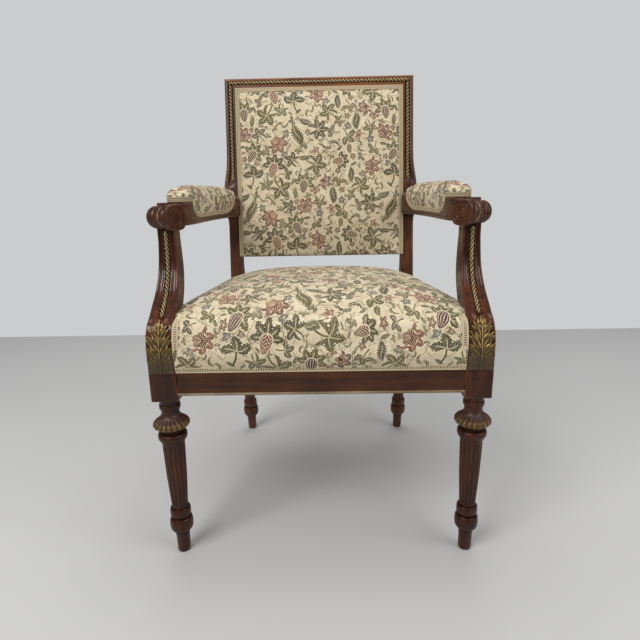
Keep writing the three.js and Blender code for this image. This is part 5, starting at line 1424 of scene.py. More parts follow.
@dataclass
class Supports:
    """The swept arm supports, fluted either side of a gilt rope, with a gilt leaf at the foot."""

    finishes: Finishes
    rise: float = 235.0
    sweep: float = 88.5
    rear_sweep: float = 76.5
    top_width: float = 30.5
    top_inset: float = 9.0
    front_shares: tuple = (
        (0, 0), (0.128, -0.005), (0.234, 0.02), (0.34, 0.11), (0.396, 0.28), (0.451, 0.43),
        (0.562, 0.73), (0.71, 0.95), (0.885, 1), (1, 1),
    )
    rear_shares: tuple = (
        (0, 0), (0.12, 0), (0.24, 0.1), (0.33, 0.28), (0.43, 0.52), (0.56, 0.8), (0.69, 0.95), (0.85, 1), (1, 1),
    )
    leaf_height: float = 93.0
    leaf_half: float = 21.5

    def front_line(self, count: int) -> Array:
        """Depth and height up the front face."""
        points = [(-HALF_BLOCK + back * self.sweep, SEAT_TOP + up * self.rise) for up, back in self.front_shares]
        return spline(points, count)

    def rear_line(self, count: int) -> Array:
        """Depth and height up the rear face."""
        points = [(HALF_BLOCK + back * self.rear_sweep, SEAT_TOP + up * self.rise) for up, back in self.rear_shares]
        return spline(points, count)

    def sides(self, height: Array) -> tuple[Array, Array]:
        """Inner and outer X at a height."""
        taper = np.clip(((height - SEAT_TOP) / self.rise - 0.25) / 0.67, 0, 1)
        outer = BLOCK_OUTER_X - self.top_inset * taper
        return outer - (47 + (self.top_width - 47) * taper), outer

    def body(self) -> Array:
        """Places of the support, a section to each row."""
        count = 150
        front, rear = self.front_line(count), self.rear_line(count)
        rows = []
        for i in range(count):
            share = i / (count - 1)
            inner, outer = (float(v) for v in self.sides(front[i, 1]))
            width = outer - inner
            through = rear[i] - front[i]
            deep = through / np.linalg.norm(through)
            step = np.linspace(-1, 1, 61)
            across = step * width / 2
            reach = np.abs(across)
            carved = float(eased(share, 0.3, 0.38))
            channel = np.sqrt(np.clip(CHANNEL**2 - reach**2, 0, None))
            inside, outside = 7.4, width / 2 - 3.4
            flute_share = np.clip((reach - inside) / max(outside - inside, 1), 0, 1)
            flute = 2.6 * np.sqrt(np.clip(1 - (2 * flute_share - 1) ** 2, 0, 1)) * (reach > inside) * (reach < outside)
            lip = np.clip(reach - (width / 2 - 2.2), 0, 2.2)
            corner = 2.2 - np.sqrt(np.clip(2.2**2 - lip**2, 0, None))
            sink = carved * (channel + flute) + corner
            face_yz = front[i][None] + deep[None] * sink[:, None]
            depth = np.linalg.norm(through)
            side_marks = np.array([4, depth * 0.3, depth * 0.7, depth - 3, depth - 0.8])
            back_step = np.array([1, 0.9, 0.5, 0, -0.5, -0.9, -1.0])
            loop_x = np.concatenate([
                across, np.full(5, width / 2), back_step * (width / 2 - 1), np.full(5, -width / 2),
            ])
            loop_deep = np.concatenate([np.zeros(61), side_marks, np.full(7, depth), side_marks[::-1]])
            yz = np.concatenate([face_yz, front[i][None] + deep[None] * loop_deep[61:, None]])
            rows.append(np.column_stack([(inner + outer) / 2 + loop_x, yz[:, 0], yz[:, 1]]))
        places = np.array(rows)
        head = places[-1:].copy()
        head[..., 2] += 9
        places[0, :, 2] = SEAT_TOP + 0.05
        return np.concatenate([places, head])

    def rope_path(self) -> Array:
        """Middle of the rope up the front face."""
        line = self.front_line(200)
        line = line[int(0.385 * 199):]
        inner, outer = self.sides(line[:, 1])
        return np.column_stack([(inner + outer) / 2, line[:, 0], line[:, 1]])

    def leaf(self) -> Array:
        """Places of the carved leaf, rows up the front face and columns across it."""
        line = self.front_line(400)
        length = np.linalg.norm(np.diff(line, axis=0), axis=1).sum()
        run = np.linspace(0, self.leaf_height + 1, 180)
        reach = run / length * 399
        y = np.interp(reach, np.arange(400), line[:, 0])
        z = np.interp(reach, np.arange(400), line[:, 1])
        tangent = np.column_stack([np.gradient(y), np.gradient(z)])
        tangent /= np.linalg.norm(tangent, axis=1)[:, None]
        normal = np.column_stack([-tangent[:, 1], tangent[:, 0]])
        across = np.linspace(-1, 1, 97) * (self.leaf_half + 0.4)
        up, side = np.meshgrid(run, across, indexing="ij")
        height = self.relief(up, side)
        inner, outer = self.sides(z)
        x = (inner + outer)[:, None] / 2 + side
        places = np.stack([x, y[:, None] + normal[:, :1] * height, z[:, None] + normal[:, 1:] * height], axis=-1)
        return places

    def relief(self, up: Array, side: Array) -> Array:
        """How far the leaf stands off the support, or below its face where there is no leaf.

        Args:
            up: distance up the leaf.
            side: distance from its midrib.

        Returns:
            The relief at each place.
        """
        away = np.abs(side)
        leaflets = [(66, 0.0, 27, 8.0, 1.1)]
        for base, angle, reach, half in (
            (55, 13, 31, 7.2), (38, 21, 37, 8.4), (20, 27, 39, 8.8), (1, 31, 40, 8.8), (-13, 38, 36, 8.0),
        ):
            leaflets.append((base, angle, reach, half, 0.6 + 0.4 * min(base / 38, 1)))
        found = np.full(up.shape, -1.2)
        body = np.interp(up, [0, 12, 26, 44, 62, 76], [21.5, 20, 12, 8, 4, 0])
        flow = 0.4 * np.cos((away - up * 0.12) * math.tau / 4.6) * np.clip((62 - up) / 20, 0, 1)
        found = np.where(away < body, 0.6 + flow + 0.9 * np.clip(1 - (away / np.maximum(body, 1)) ** 2, 0, 1), found)
        for base, angle, reach, half, lift in leaflets:
            turn = math.radians(angle)
            dx, dy = away, up - base
            u = (dy * math.cos(turn) + dx * math.sin(turn)) / reach
            v = (dx * math.cos(turn) - dy * math.sin(turn)) / half
            v = v - (1.1 * np.clip(u, 0, 1) ** 2.2 + 0.1) * (angle > 0)
            u = u / (0.87 + 0.13 * np.cos(v * 2.4 * math.pi))
            shape = np.clip(np.sin(np.clip(u, 0, 1) ** 1.45 * math.pi), 0, 1) ** 0.5
            bulge = 1 - (v / np.maximum(shape, 0.03)) ** 2
            curl = 1.2 + 4.4 * np.clip(u, 0, 1) ** 1.5
            furrow = 1.1 * np.cos(v * 2.4 * math.pi) * np.clip(1.3 - u, 0, 1)
            bump = (curl * np.sqrt(np.clip(bulge, 0, 1)) + furrow) * lift
            inside = (bulge > 0) & (u > 0) & (u < 1)
            found = np.where(inside, np.maximum(found, bump), found)
        spine = 3.6 * np.sqrt(np.clip(1 - (away / 1.9) ** 2, 0, 1))
        return np.where((away < 1.9) & (up < 74), np.maximum(found, spine), found)

    def build(self) -> None:
        """Builds both supports."""
        for side in Side:
            name = f"{side.word}_arm_support"
            support = sheet_on(f"{name}_carved", mirrored(self.body(), side.value))
            dressed(support, self.finishes.polished, name, 45)
            path = mirrored(self.rope_path(), side.value)
            rope = rope_along(f"{side.word}_support_rope_carved", path, ROPE_RADIUS, 25 * side.value, 3)
            dressed(rope, self.finishes.rope, f"{side.word}_support_rope", 60, 0.36)
            places = self.leaf()
            # darker towards the leaf's foot: more wood shows, the gold is duller and its hollows take more painted
            # shade
            bare = np.repeat(0.8 * eased(np.arange(len(places)), 84, 10)[:, None], places.shape[1], axis=1)
            name = f"{side.word}_acanthus_leaf"
            places = mirrored(places, side.value)
            relief = sheet_on(f"{name}_carved", places, wrapped=False, closed=False, marks={"bare": bare})
            turn_out(relief, np.array([0, -1.0, 0]))
            dressed(relief, self.finishes.leaf, name, 70, 0.62)


def turn_out(piece: Piece, way: Array) -> None:
    """Turns an open sheet's faces to look one way, if most of them look the other."""
    mesh = piece.data
    normals = np.empty(len(mesh.polygons) * 3)
    mesh.polygons.foreach_get("normal", normals)
    if (normals.reshape(-1, 3) @ way).sum() < 0:
        only(piece)
        bpy.ops.object.mode_set(mode="EDIT")
        bpy.ops.mesh.select_all(action="SELECT")
        bpy.ops.mesh.flip_normals()
        bpy.ops.object.mode_set(mode="OBJECT")


@dataclass
class Arms:
    """The arms: volute, moulded shoulder, shelf under the pad and hip at the stile."""

    finishes: Finishes
    front_y: float = 68.0
    rear_x: float = 226.5
    bow: float = 30.5
    half: float = 25.0
    pad_front: float = 106.0
    pad_rear: float = 446.0
    pad_half: float = 22.4
    scroll_at: tuple = (271.0, 69.5, 628.0)
    scroll_radius: float = 22.0
    scroll_width: float = 60.0
    splay: float = math.radians(29)
    line_shares: tuple = (
        (0, 1.38), (0.107, 1.07), (0.234, 1), (0.386, 1), (0.589, 0.9), (0.767, 0.64), (0.919, 0.2), (1, 0),
    )
    scroll_shares: tuple = (
        (0, 0.94), (0.015, 0.99), (0.04, 1.02), (0.11, 1.02), (0.125, 0.98), (0.135, 0.86), (0.155, 0.86), (0.17, 0.93),
        (0.22, 1.01), (0.29, 1.04), (0.36, 1.01), (0.405, 0.93), (0.42, 0.85), (0.45, 0.85), (0.46, 0.91), (0.47, 0.95),
        (0.57, 0.95), (0.58, 0.91), (0.59, 0.83), (0.61, 0.83), (0.62, 0.9), (0.67, 0.95), (0.72, 0.9), (0.73, 0.82),
        (0.75, 0.82), (0.76, 0.9), (0.84, 0.9), (0.93, 0.8), (0.98, 0.66), (1, 0.55),
    )

    def middle(self, y: Array | float) -> Array:
        """X of the arm's middle at a depth."""
        run = float(stile_front(ARM_UNDERSIDE)) - 0.3 - self.front_y
        points = [(self.rear_x + self.bow * out, self.front_y + run * along) for along, out in self.line_shares]
        line = spline(points, 120)
        return np.interp(y, line[:, 1], line[:, 0])

    def rest(self, y: Array | float) -> Array:
        """Height of the pad's underside at a depth: the wood cradles both ends."""
        fore = np.clip((self.pad_front + 74 - np.asarray(y)) / 54, 0, 1)
        rear = np.clip((np.asarray(y) - self.pad_rear + 80) / 60, 0, 1)
        return PAD_BOTTOM + 31 * (1 - np.sqrt(1 - fore**2)) + 34 * (1 - np.sqrt(1 - rear**2))

    def shelf(self) -> Array:
        """Places of the moulded shelf under the pad."""
        depths = np.linspace(86, 452, 180)
        loop = np.array([
            (-1, 0, 0.4), (-0.97, 0, 0), (-0.5, 0, 0), (0, 0, 0), (0.5, 0, 0), (0.97, 0, 0), (1, 0, 0.4),
            (1, 1.2, 1.8), (1, 0.4, 3.2), (1, -1.0, 4.2), (1, -1.2, 5.2), (1, 0.2, 6.2), (1, 0.5, 7.6), (1, 0, 8.9),
            (0.96, 0, 9.7), (0.5, 0, 9.7), (0, 0, 9.7), (-0.5, 0, 9.7), (-0.96, 0, 9.7),
            (-1, 0, 8.9), (-1, -0.5, 7.6), (-1, -0.2, 6.2), (-1, 1.2, 5.2), (-1, 1.0, 4.2), (-1, -0.4, 3.2),
            (-1, -1.2, 1.8),
        ])
        rows = []
        for y in depths:
            lift = float(self.rest(y)) - PAD_BOTTOM
            height = ARM_UNDERSIDE + loop[:, 2] + lift * (loop[:, 2] > 8.0)
            rows.append(np.column_stack([
                self.middle(y) + loop[:, 0] * (self.half - 1) + loop[:, 1], np.full(len(loop), y), height,
            ]))
        return np.array(rows)

    def shoulder(self) -> Array:
        """Places of the shoulder from the volute to the pad."""
        axis = np.array([math.cos(self.splay), math.sin(self.splay)])
        centre = np.array(self.scroll_at[:2])
        rear_y = self.pad_front - 2.6
        starts = centre + np.outer([-0.42, 0.12], axis) * self.scroll_width
        ends = np.array([[self.middle(rear_y) - 25, rear_y], [self.middle(rear_y) + 25, rear_y]])
        side_loop = np.array([
            (0, 0.4), (1.0, 1.6), (0.8, 4), (-1.2, 5.6), (-1.6, 8), (-2.2, 14), (-2.4, 20), (-2.0, 26), (-0.8, 31.5),
            (-0.5, 33), (0.9, 34), (1.4, 36), (1.0, 38.4), (0.0, 39.4), (-1.4, 40.0),
        ])
        rows = []
        for share in np.linspace(0, 1, 26):
            bend = float(eased(share, 0, 1))
            low = starts[0] + (ends[0] - starts[0]) * np.array([bend, share])
            high = starts[1] + (ends[1] - starts[1]) * np.array([bend, share])
            way = (high - low) / np.linalg.norm(high - low)
            top = -1.5 * math.sin(share * math.pi)
            right = high[None] + np.outer(side_loop[:, 0], way)
            left = low[None] - np.outer(side_loop[::-1, 0], way)
            crown = [low + (high - low) * s for s in (0.75, 0.5, 0.25)]
            base = [low + (high - low) * s for s in (0.25, 0.5, 0.75)]
            plan = np.vstack([right, crown, left, base])
            zed = np.concatenate([side_loop[:, 1], [40.6, 40.9, 40.6], side_loop[::-1, 1], [0, 0, 0]])
            zed = zed + top * (zed > 30)
            rows.append(np.column_stack([plan, ARM_UNDERSIDE + zed]))
        return np.array(rows)

    def hip(self) -> Array:
        """Places of the hip, rising to the stile."""
        front, rear = self.pad_rear + 2.6, float(stile_front(ARM_HIP_TOP)) + 3
        inner, outer = 212.5, BACK_HALF_WIDTH + 8
        rows = []
        for share in np.linspace(0, 1, 24):
            y = front + (rear - front) * share
            mid = float(self.middle(y))
            low = (mid - 25) + (inner - (mid - 25)) * share
            high = (mid + 25) + (outer - (mid + 25)) * share
            top = ARM_SHOULDER_TOP + (ARM_HIP_TOP - ARM_SHOULDER_TOP) * share**2
            loop = [
                (high, ARM_UNDERSIDE + 0.5), (high + 0.8, ARM_UNDERSIDE + 3), (high - 0.6, ARM_UNDERSIDE + 7),
                (high - 1.6, ARM_UNDERSIDE + 14), (high - 1.8, top - 16), (high - 0.8, top - 8),
                (high + 0.6, top - 5.5),
                (high + 0.6, top - 3), (high - 1, top - 0.8), (high - 4, top), ((low + high) / 2, top + 0.4),
                (low + 4, top), (low + 1, top - 0.8), (low - 0.6, top - 3), (low - 0.6, top - 5.5), (low + 0.8, top - 8),
                (low + 1.8, top - 16), (low + 1.6, ARM_UNDERSIDE + 14), (low + 0.6, ARM_UNDERSIDE + 7),
                (low - 0.8, ARM_UNDERSIDE + 3), (low, ARM_UNDERSIDE + 0.5), (low + 1.5, ARM_UNDERSIDE),
                (high - 1.5, ARM_UNDERSIDE),
            ]
            depth = [min(y, float(stile_front(z)) + 3) for _, z in loop]
            rows.append(np.array([(x, d, z) for (x, z), d in zip(loop, depth)]))
        return np.array(rows)

    def scroll(self) -> Array:
        """Places of the volute: a key spiral on its inner face, then bulge, neck and reeds outward."""
        turns = np.linspace(0, math.tau, 144, endpoint=False)
        square = (np.abs(np.cos(turns)) ** 3.6 + np.abs(np.sin(turns)) ** 3.6) ** (-1 / 3.6)
        along, out = [], []
        for share in np.linspace(0.03, 0.935, 60):
            key = sum(np.exp(-(((share - at) / 0.035) ** 2)) for at in (0.4, 0.74))
            along.append(np.full(144, 1.5 * key))
            out.append(share * self.scroll_radius * square)
        marks, radii = np.array(self.scroll_shares).T
        for share in np.linspace(0, 1, 96):
            reeded = eased(share, 0.46, 0.475) * (1 - eased(share, 0.565, 0.58))
            reed = 1.0 * np.abs(np.sin(turns * 18)) * reeded
            round_part = float(eased(share, 0.12, 0.14))
            radius = np.interp(share, marks, radii) * self.scroll_radius
            along.append(np.full(144, share * self.scroll_width))
            out.append((radius - 0.7 * reeded + reed) * (square + (1 - square) * round_part))
        along.append(np.full(144, self.scroll_width))
        out.append(np.full(144, self.scroll_radius * 0.02))
        along, out = np.array(along), np.array(out)
        cap = np.full(144, self.scroll_width)
        for share in (0.45, 0.25):
            along = np.insert(along, len(along) - 1, cap + (0.6 - share) * 2, axis=0)
            out = np.insert(out, len(out) - 1, np.full(144, share * self.scroll_radius), axis=0)
        along[-1] = self.scroll_width + 1.3
        return self.around_axis(along, out, turns)

    def around_axis(self, along: Array, out: Array, turns: Array) -> Array:
        """Places at distances along and out from the volute's axis."""
        axis = np.array([math.cos(self.splay), math.sin(self.splay), 0])
        side = np.array([-math.sin(self.splay), math.cos(self.splay), 0])
        up = np.array([0, 0, 1.0])
        start = np.array(self.scroll_at) - axis * self.scroll_width / 2
        ring = np.cos(turns)[:, None] * side + np.sin(turns)[:, None] * up
        return start + along[..., None] * axis + out[..., None] * ring[None]

    def beads(self) -> Array:
        """Places of the fine gilt string of beads round the volute's neck."""
        turns = np.linspace(0, math.tau, 264, endpoint=False)
        small = np.linspace(0, math.tau, 12, endpoint=False)
        size = 0.75 + 0.5 * np.abs(np.sin(turns * 16.5))
        along = 0.435 * self.scroll_width + np.cos(small)[:, None] * size[None]
        out = 0.865 * self.scroll_radius + np.sin(small)[:, None] * size[None]
        rows = self.around_axis(along, out, turns)
        return np.concatenate([rows, rows[:1]])

    def pad_outline(self, offset: float, count: int = 260) -> Array:
        """Plan outline round the pad, moved out by an offset."""
        reach = self.pad_half + offset
        front, rear = self.pad_front + self.pad_half, self.pad_rear - self.pad_half
        y = np.linspace(front, rear, 60)
        right = np.column_stack([self.middle(y) + reach, y])
        left = np.column_stack([self.middle(y[::-1]) - reach, y[::-1]])
        turn = np.linspace(0, math.pi, 18)[1:-1]
        back = np.column_stack([self.middle(rear) + reach * np.cos(turn), rear + reach * np.sin(turn)])
        fore = np.column_stack([self.middle(front) - reach * np.cos(turn), front - reach * np.sin(turn)])
        loop = np.vstack([right, back, left, fore, right[:1]])
        return spaced(loop, count + 1)[:-1]

    def build(self) -> None:
        """Builds both arms with their carving."""
        shapes = {"shelf": self.shelf(), "shoulder": self.shoulder(), "hip": self.hip(), "scroll": self.scroll()}
        for side in Side:
            name = f"{side.word}_arm"
            parts = [sheet_on(part, mirrored(places, side.value)) for part, places in shapes.items()]
            dressed(joined(f"{name}_carved", parts), self.finishes.deep, name, 45)
            ring = sheet_on(f"{name}_beads", mirrored(self.beads(), side.value), closed=False)
            dressed(ring, self.finishes.rope, None, 60, 0.8)


@dataclass
class BackFrame:
    """The crest rail and the ropes set in it and in the stiles."""

    finishes: Finishes
    rope_drop: float = 11.8
    stile_rope: float = 14.9

    def crest(self) -> Array:
        """Places of the crest, rows along it, mitred to the stiles."""
        inset = np.concatenate([
            [0, 0.4, 1.2, 2.4, 3.8, 5.2, 7.4, 8.9, 9.3, 9.7], np.linspace(9.9, 19.9, 13),
            [20.1, 20.5, 20.9, 21.4, 23, 25, 27, 29, 30.6, 45.4],
        ])
        face = stile_face(inset, 1.0, self.stile_rope)
        down = inset * MITRE
        loop_y = np.concatenate([face, [8, 22, STILE_DEPTH - 1.2, *[STILE_DEPTH] * 4, STILE_DEPTH - 2, 22, 9]])
        loop_down = np.concatenate([down, [36, 36, 36, 35, 24, 12, 4, 0.8, 0, 0]])
        rows = []
        for share in np.concatenate([[-1], np.linspace(-0.98, 0.98, 70), [1]]):
            end = BACK_HALF_WIDTH - np.clip(loop_down / MITRE, 0, FRAME_WIDTH)
            rows.append(np.column_stack([share * end, loop_y, BACK_TOP - loop_down]))
        return leaned(np.array(rows))

    def build(self) -> None:
        """Builds the crest and the three ropes."""
        crest = sheet_on("crest_rail_carved", self.crest())
        dressed(crest, self.finishes.crest, "crest_rail", 45)
        reach = BACK_HALF_WIDTH - 10.6
        top = BACK_TOP - self.rope_drop
        path = leaned(np.array([(-reach, 0.0, top), (reach, 0.0, top)]))
        rope = rope_along("crest_rope_carved", path, ROPE_RADIUS, 18)
        dressed(rope, self.finishes.rope, "crest_rope", 60, 0.36)
        for side in Side:
            x = (BACK_HALF_WIDTH - self.stile_rope) * side.value
            path = leaned(np.array([(x, 0.0, 250.7), (x, 0.0, 484.4)]))
            rope = rope_along(f"{side.word}_stile_rope_carved", path, ROPE_RADIUS, 17 * side.value)
            dressed(rope, self.finishes.rope, f"{side.word}_stile_rope", 60, 0.36)


@dataclass
class Cloth:
    """Lays tapestry over a form, swells it and marks its weave."""

    finishes: Finishes
    over: Array = field(init=False)
    under: Array = field(init=False)

    def __post_init__(self) -> None:
        """Lays out the pattern: large motifs, then small ones in a second layer between them."""
        large = scattered(BIG_MOTIFS, 4, 23, -0.6)
        small = scattered(SMALL_MOTIFS, 16, 5, -0.4, large)
        self.over, self.under = laid_out(large), laid_out(small)
        log.info("tapestry repeat: %d large and %d small motifs", len(large), len(small))

    def mark(self, piece: Piece) -> None:
        """Marks a piece with the motifs nearest to each place of its cloth."""
        mesh = piece.data
        count = len(mesh.vertices)
        cloth = np.empty(count * 3, np.float32)
        mesh.attributes["cloth"].data.foreach_get("vector", cloth)
        cloth = cloth.reshape(-1, 3) * 1000
        for layer, motifs in (("under", self.under), ("over", self.over)):
            for key, value in woven_marks(cloth, motifs, layer).items():
                held = mesh.attributes.new(key, "FLOAT_VECTOR", "POINT")
                held.data.foreach_set("vector", value.astype(np.float32).ravel())

    def swell(
        self, piece: Piece, pins: Array, pressure: float, most: float, way: Sequence[float]
    ) -> None:
        """Swells a cover by cloth simulation, with its edge held and its movement limited.

        Args:
            piece: the cover.
            pins: the numbers of the vertices that are held.
            pressure: the pressure under it.
            most: how far a place may move, in millimetres.
            way: the way that the cover faces.
        """
        turn_out(piece, np.array(way))
        outward = np.empty(len(piece.data.vertices) * 3, np.float32)
        piece.data.vertex_normals.foreach_get("vector", outward)
        outward = outward.reshape(-1, 3)
        only(piece)
        before = np.empty(len(piece.data.vertices) * 3)
        piece.data.vertices.foreach_get("co", before)
        group = piece.vertex_groups.new(name="held")
        group.add([int(i) for i in pins], 1.0, "REPLACE")
        modifier = piece.modifiers.new("Cloth", "CLOTH")
        settings = modifier.settings
        settings.quality = 6
        settings.mass = 0.3
        settings.tension_stiffness = 25
        settings.compression_stiffness = 25
        settings.shear_stiffness = 12
        settings.bending_stiffness = 1.5
        settings.use_pressure = True
        settings.uniform_pressure_force = pressure
        settings.vertex_group_mass = "held"
        settings.effector_weights.gravity = 0
        modifier.collision_settings.use_collision = False
        modifier.point_cache.frame_start = 1
        modifier.point_cache.frame_end = 20
        scene = bpy.context.scene
        for step in range(1, 21):
            scene.frame_set(step)
        bpy.ops.object.modifier_apply(modifier=modifier.name)
        after = np.empty(len(piece.data.vertices) * 3)
        piece.data.vertices.foreach_get("co", after)
        move = (after - before).reshape(-1, 3)
        move -= np.minimum((move * outward).sum(axis=1), 0)[:, None] * outward
        log.info("%s: swelled by up to %.1f mm", piece.name, 1000 * np.linalg.norm(move, axis=1).max())
        far = np.linalg.norm(move, axis=1)
        share = np.minimum(1, most / 1000 / np.maximum(far, 1e-9))
        piece.data.vertices.foreach_set("co", (before.reshape(-1, 3) + move * share[:, None]).ravel())
        piece.data.update()
        piece.vertex_groups.clear()
        scene.frame_set(1)

    def cover(
        self, name: str, places: Array, cloth: Array, pressure: float, most: float,
        way: Sequence[float] = (0, 0, 1),
    ) -> Piece:
        """Makes an open cover from a grid of places, swells it and adds one subdivision."""
        flat = np.concatenate([cloth / 1000, np.zeros(cloth.shape[:2] + (1,))], axis=-1)
        piece = sheet_on(name, places, wrapped=False, closed=False, marks={"cloth": flat})
        rows, cols = places.shape[:2]
        index = np.arange(rows * cols).reshape(rows, cols)
        pins = np.unique(np.concatenate([index[0], index[-1], index[:, 0], index[:, -1], index[1], index[-2]]))
        if len(piece.data.vertices) == rows * cols and pressure > 0:
            self.swell(piece, pins, pressure, most, way)
        only(piece)
        applied(piece, "SUBSURF", {"levels": 1, "render_levels": 1})
        return piece


@dataclass
class Seat:
    """The stuffed seat: a crowned top with bulging sides, tacked to the rails and edged with gimp."""

    cloth: Cloth
    front: float = -21.5
    rear: float = 470.0
    edge: float = 83.0
    crown: float = 41.0
    bulge: float = 8.0
    power: float = 3.6
    margin: float = 14.0
    step: float = 4.6
    gimp_width: float = 11.0
    # Shares of the side's height, up from the rail, and of its bulge
    side_shares: tuple = (
        (0, 0), (0.1, 0.3), (0.22, 0.6), (0.35, 0.86), (0.48, 1), (0.62, 0.92), (0.74, 0.7), (0.85, 0.3),
        (0.92, -0.1), (0.97, -0.7), (1, -1.75),
    )

    def half(self, y: Array | float) -> Array:
        """Half width of the seat at a depth."""
        return 292.5 - 0.14565 * (np.asarray(y) - HALF_BLOCK)

    def top(self, x: Array, y: Array) -> Array:
        """Height of the crown."""
        mid, reach = (self.front + self.rear) / 2, (self.rear - self.front) / 2
        across = np.abs(x / self.half(y)) ** self.power
        along = np.abs((y - mid) / reach) ** self.power
        dome = np.clip(1 - across, 0, 1) * np.clip(1 - along, 0, 1)
        return SEAT_TOP + 0.3 + self.edge + self.crown * dome

    def form(self) -> tuple[Array, Array]:
        """Places of the cover, draped over the edges, and the cloth at each."""
        inset = self.margin
        ups, outs = np.array(self.side_shares).T
        shares = np.linspace(0, 1, 25)
        out_at = np.interp(1 - shares, ups, outs) * self.bulge + inset
        down_at = shares
        skirt = self.edge / 24 * np.arange(25) * 1.12
        front, rear = self.front + inset, self.rear - inset
        depth = np.linspace(front, rear, int((rear - front) / self.step))
        wide = 2 * (float(self.half(224)) - inset)
        width = np.linspace(-1, 1, int(wide / self.step))
        rows = np.concatenate([-skirt[:0:-1], np.zeros(len(depth)), skirt[1:]])
        row_y = np.concatenate([np.full(24, front), depth, np.full(24, rear)])
        cols = np.concatenate([-skirt[:0:-1], np.zeros(len(width)), skirt[1:]])
        col_x = np.concatenate([np.full(24, -1.0), width, np.full(24, 1.0)])
        over_y, over_x = np.meshgrid(rows, cols, indexing="ij")
        base_y, base_s = np.meshgrid(row_y, col_x, indexing="ij")
        base_x = base_s * (self.half(base_y) - inset)
        reach = np.maximum(np.abs(over_x), np.abs(over_y))
        size = np.maximum(np.hypot(over_x, over_y), 1e-6)
        way = np.stack([over_x / size, over_y / size], axis=-1)
        share = reach / skirt[-1]
        out = np.interp(share, shares, out_at) - np.interp(0, shares, out_at)
        out = np.where(reach > 0, out, 0)
        corner = np.where((over_x != 0) & (over_y != 0), 1.0, 1.0)
        crown = self.top(base_x, base_y)
        x = base_x + way[..., 0] * out * corner
        y = base_y + way[..., 1] * out * corner
        z = crown + (SEAT_TOP + 0.3 - crown) * np.interp(share, shares, down_at)
        pull = 0.7 * np.sin(base_x / 9.0 + base_y / 11.0) * np.exp(-(((share - 0.86) / 0.1) ** 2))
        z = z + pull * (reach > 0)
        cloth = np.stack([base_x + way[..., 0] * reach, base_y + way[..., 1] * reach], axis=-1)
        return np.stack([x, y, z], axis=-1), cloth

    def tuck(self, piece: Piece, supports: Supports) -> None:
        """Turns the cover in behind the supports and the rear posts."""
        mesh = piece.data
        places = np.empty(len(mesh.vertices) * 3)
        mesh.vertices.foreach_get("co", places)
        places = places.reshape(-1, 3) * 1000 + np.array([0, LEG_AXIS_DEPTH, 0])
        x, y, z = places.T
        front, rear = supports.front_line(200), supports.rear_line(200)
        face = np.interp(z, front[:, 1], front[:, 0])
        back = np.interp(z, rear[:, 1], rear[:, 0])
        beside = (np.abs(x) > BLOCK_INNER_X - 0.4) & (y < back + 1)
        y = np.where(beside, np.maximum(y, face + 7), y)
        x = np.where(beside, np.sign(x) * np.minimum(np.abs(x), 288), x)
        behind = (np.abs(x) > 190) & (y > REAR_BLOCK_FRONT)
        inner = 190.4 + 14.4 * np.interp(z, [370, 396.3, 422.6, 481], [0, 0.3, 0.7, 0.95])
        y = np.where(behind & (np.abs(x) > inner), np.minimum(y, 464), y)
        x = np.where(behind, np.sign(x) * np.minimum(np.abs(x), 230), x)
        mesh.vertices.foreach_set("co", in_frame(np.column_stack([x, y, z])).ravel())
        mesh.update()

    def edge_line(self, height: float, side: str) -> Array:
        """Plan line of the cover's skirt at a height above the rail, along one side."""
        ups, outs = np.array(self.side_shares).T
        out = float(np.interp(height / self.edge, ups, outs)) * self.bulge
        if side == "front":
            x = np.linspace(-247.2, 247.2, 420)
            return np.column_stack([x, np.full(420, self.front - out)])
        if side == "rear":
            x = np.linspace(-189, 189, 320)
            return np.column_stack([x, np.full(320, self.rear + out)])
        y = np.linspace(25.5, 431, 340)
        return np.column_stack([self.half(y) + out, y])

    def build(self, supports: Supports) -> None:
        """Builds the cover and its gimp."""
        places, cloth = self.form()
        cover = self.cloth.cover("seat_cover_tapestry", places, cloth, 1.6, 6.0)
        self.tuck(cover, supports)
        closed_up(cover)
        self.cloth.mark(cover)
        dressed(cover, self.cloth.finishes.tapestry, "seat_cover", 80)
        gimp = self.cloth.finishes.gimp
        for name, side, sign in (
            ("front_seat_gimp", "front", 1), ("rear_seat_gimp", "rear", 1),
            ("left_side_seat_gimp", "side", 1), ("right_side_seat_gimp", "side", -1),
        ):
            strips = [braid_strip(
                name,
                lambda up, side=side: np.column_stack([
                    self.edge_line(up, side), np.full(len(self.edge_line(up, side)), SEAT_TOP + 0.4 + up)
                ]),
                self.gimp_width, 2.0, sign, ladder,
            )]
            if side == "front":
                strips += [self.upright(sign_x) for sign_x in (1, -1)]
            dressed(joined(f"{name}_braided", strips), gimp, name, 60, 1.2)

    def upright(self, sign: int) -> Piece:
        """The band of gimp that climbs the seat's front beside a support."""
        ups, outs = np.array(self.side_shares).T
        rise = np.concatenate([np.linspace(0, 0.97, 70), np.linspace(0.975, 1.0, 6)])

        def line(across: float) -> Array:
            x = np.full(len(rise), (BLOCK_INNER_X - 0.6 - across) * sign)
            top = float(self.top(np.array(235.0), np.array(self.front + 14.0)))
            z = SEAT_TOP + 0.4 + rise * (top - SEAT_TOP - 0.3)
            y = self.front - np.interp(rise, ups, outs) * self.bulge
            reach = np.linspace(self.front + 14, 40, 40)[1:]
            extra = np.column_stack([np.full(39, x[0]), reach, self.top(np.full(39, 235.0), reach)])
            return np.vstack([np.column_stack([x, y, z]), extra])

        return braid_strip("upright", line, self.gimp_width, 2.0, 1, ladder)


def ladder(run: Array, across: Array) -> Array:
    """Relief of the seat's gimp: cords along both edges and ribs between them."""
    cords = 0.75 * np.exp(-(((np.abs(across) - 0.82) / 0.15) ** 2))
    ribs = 0.55 * np.abs(np.sin(run * math.pi / 4.0 + 0.8 * np.abs(across))) * (np.abs(across) < 0.6)
    return 0.35 + cords + ribs


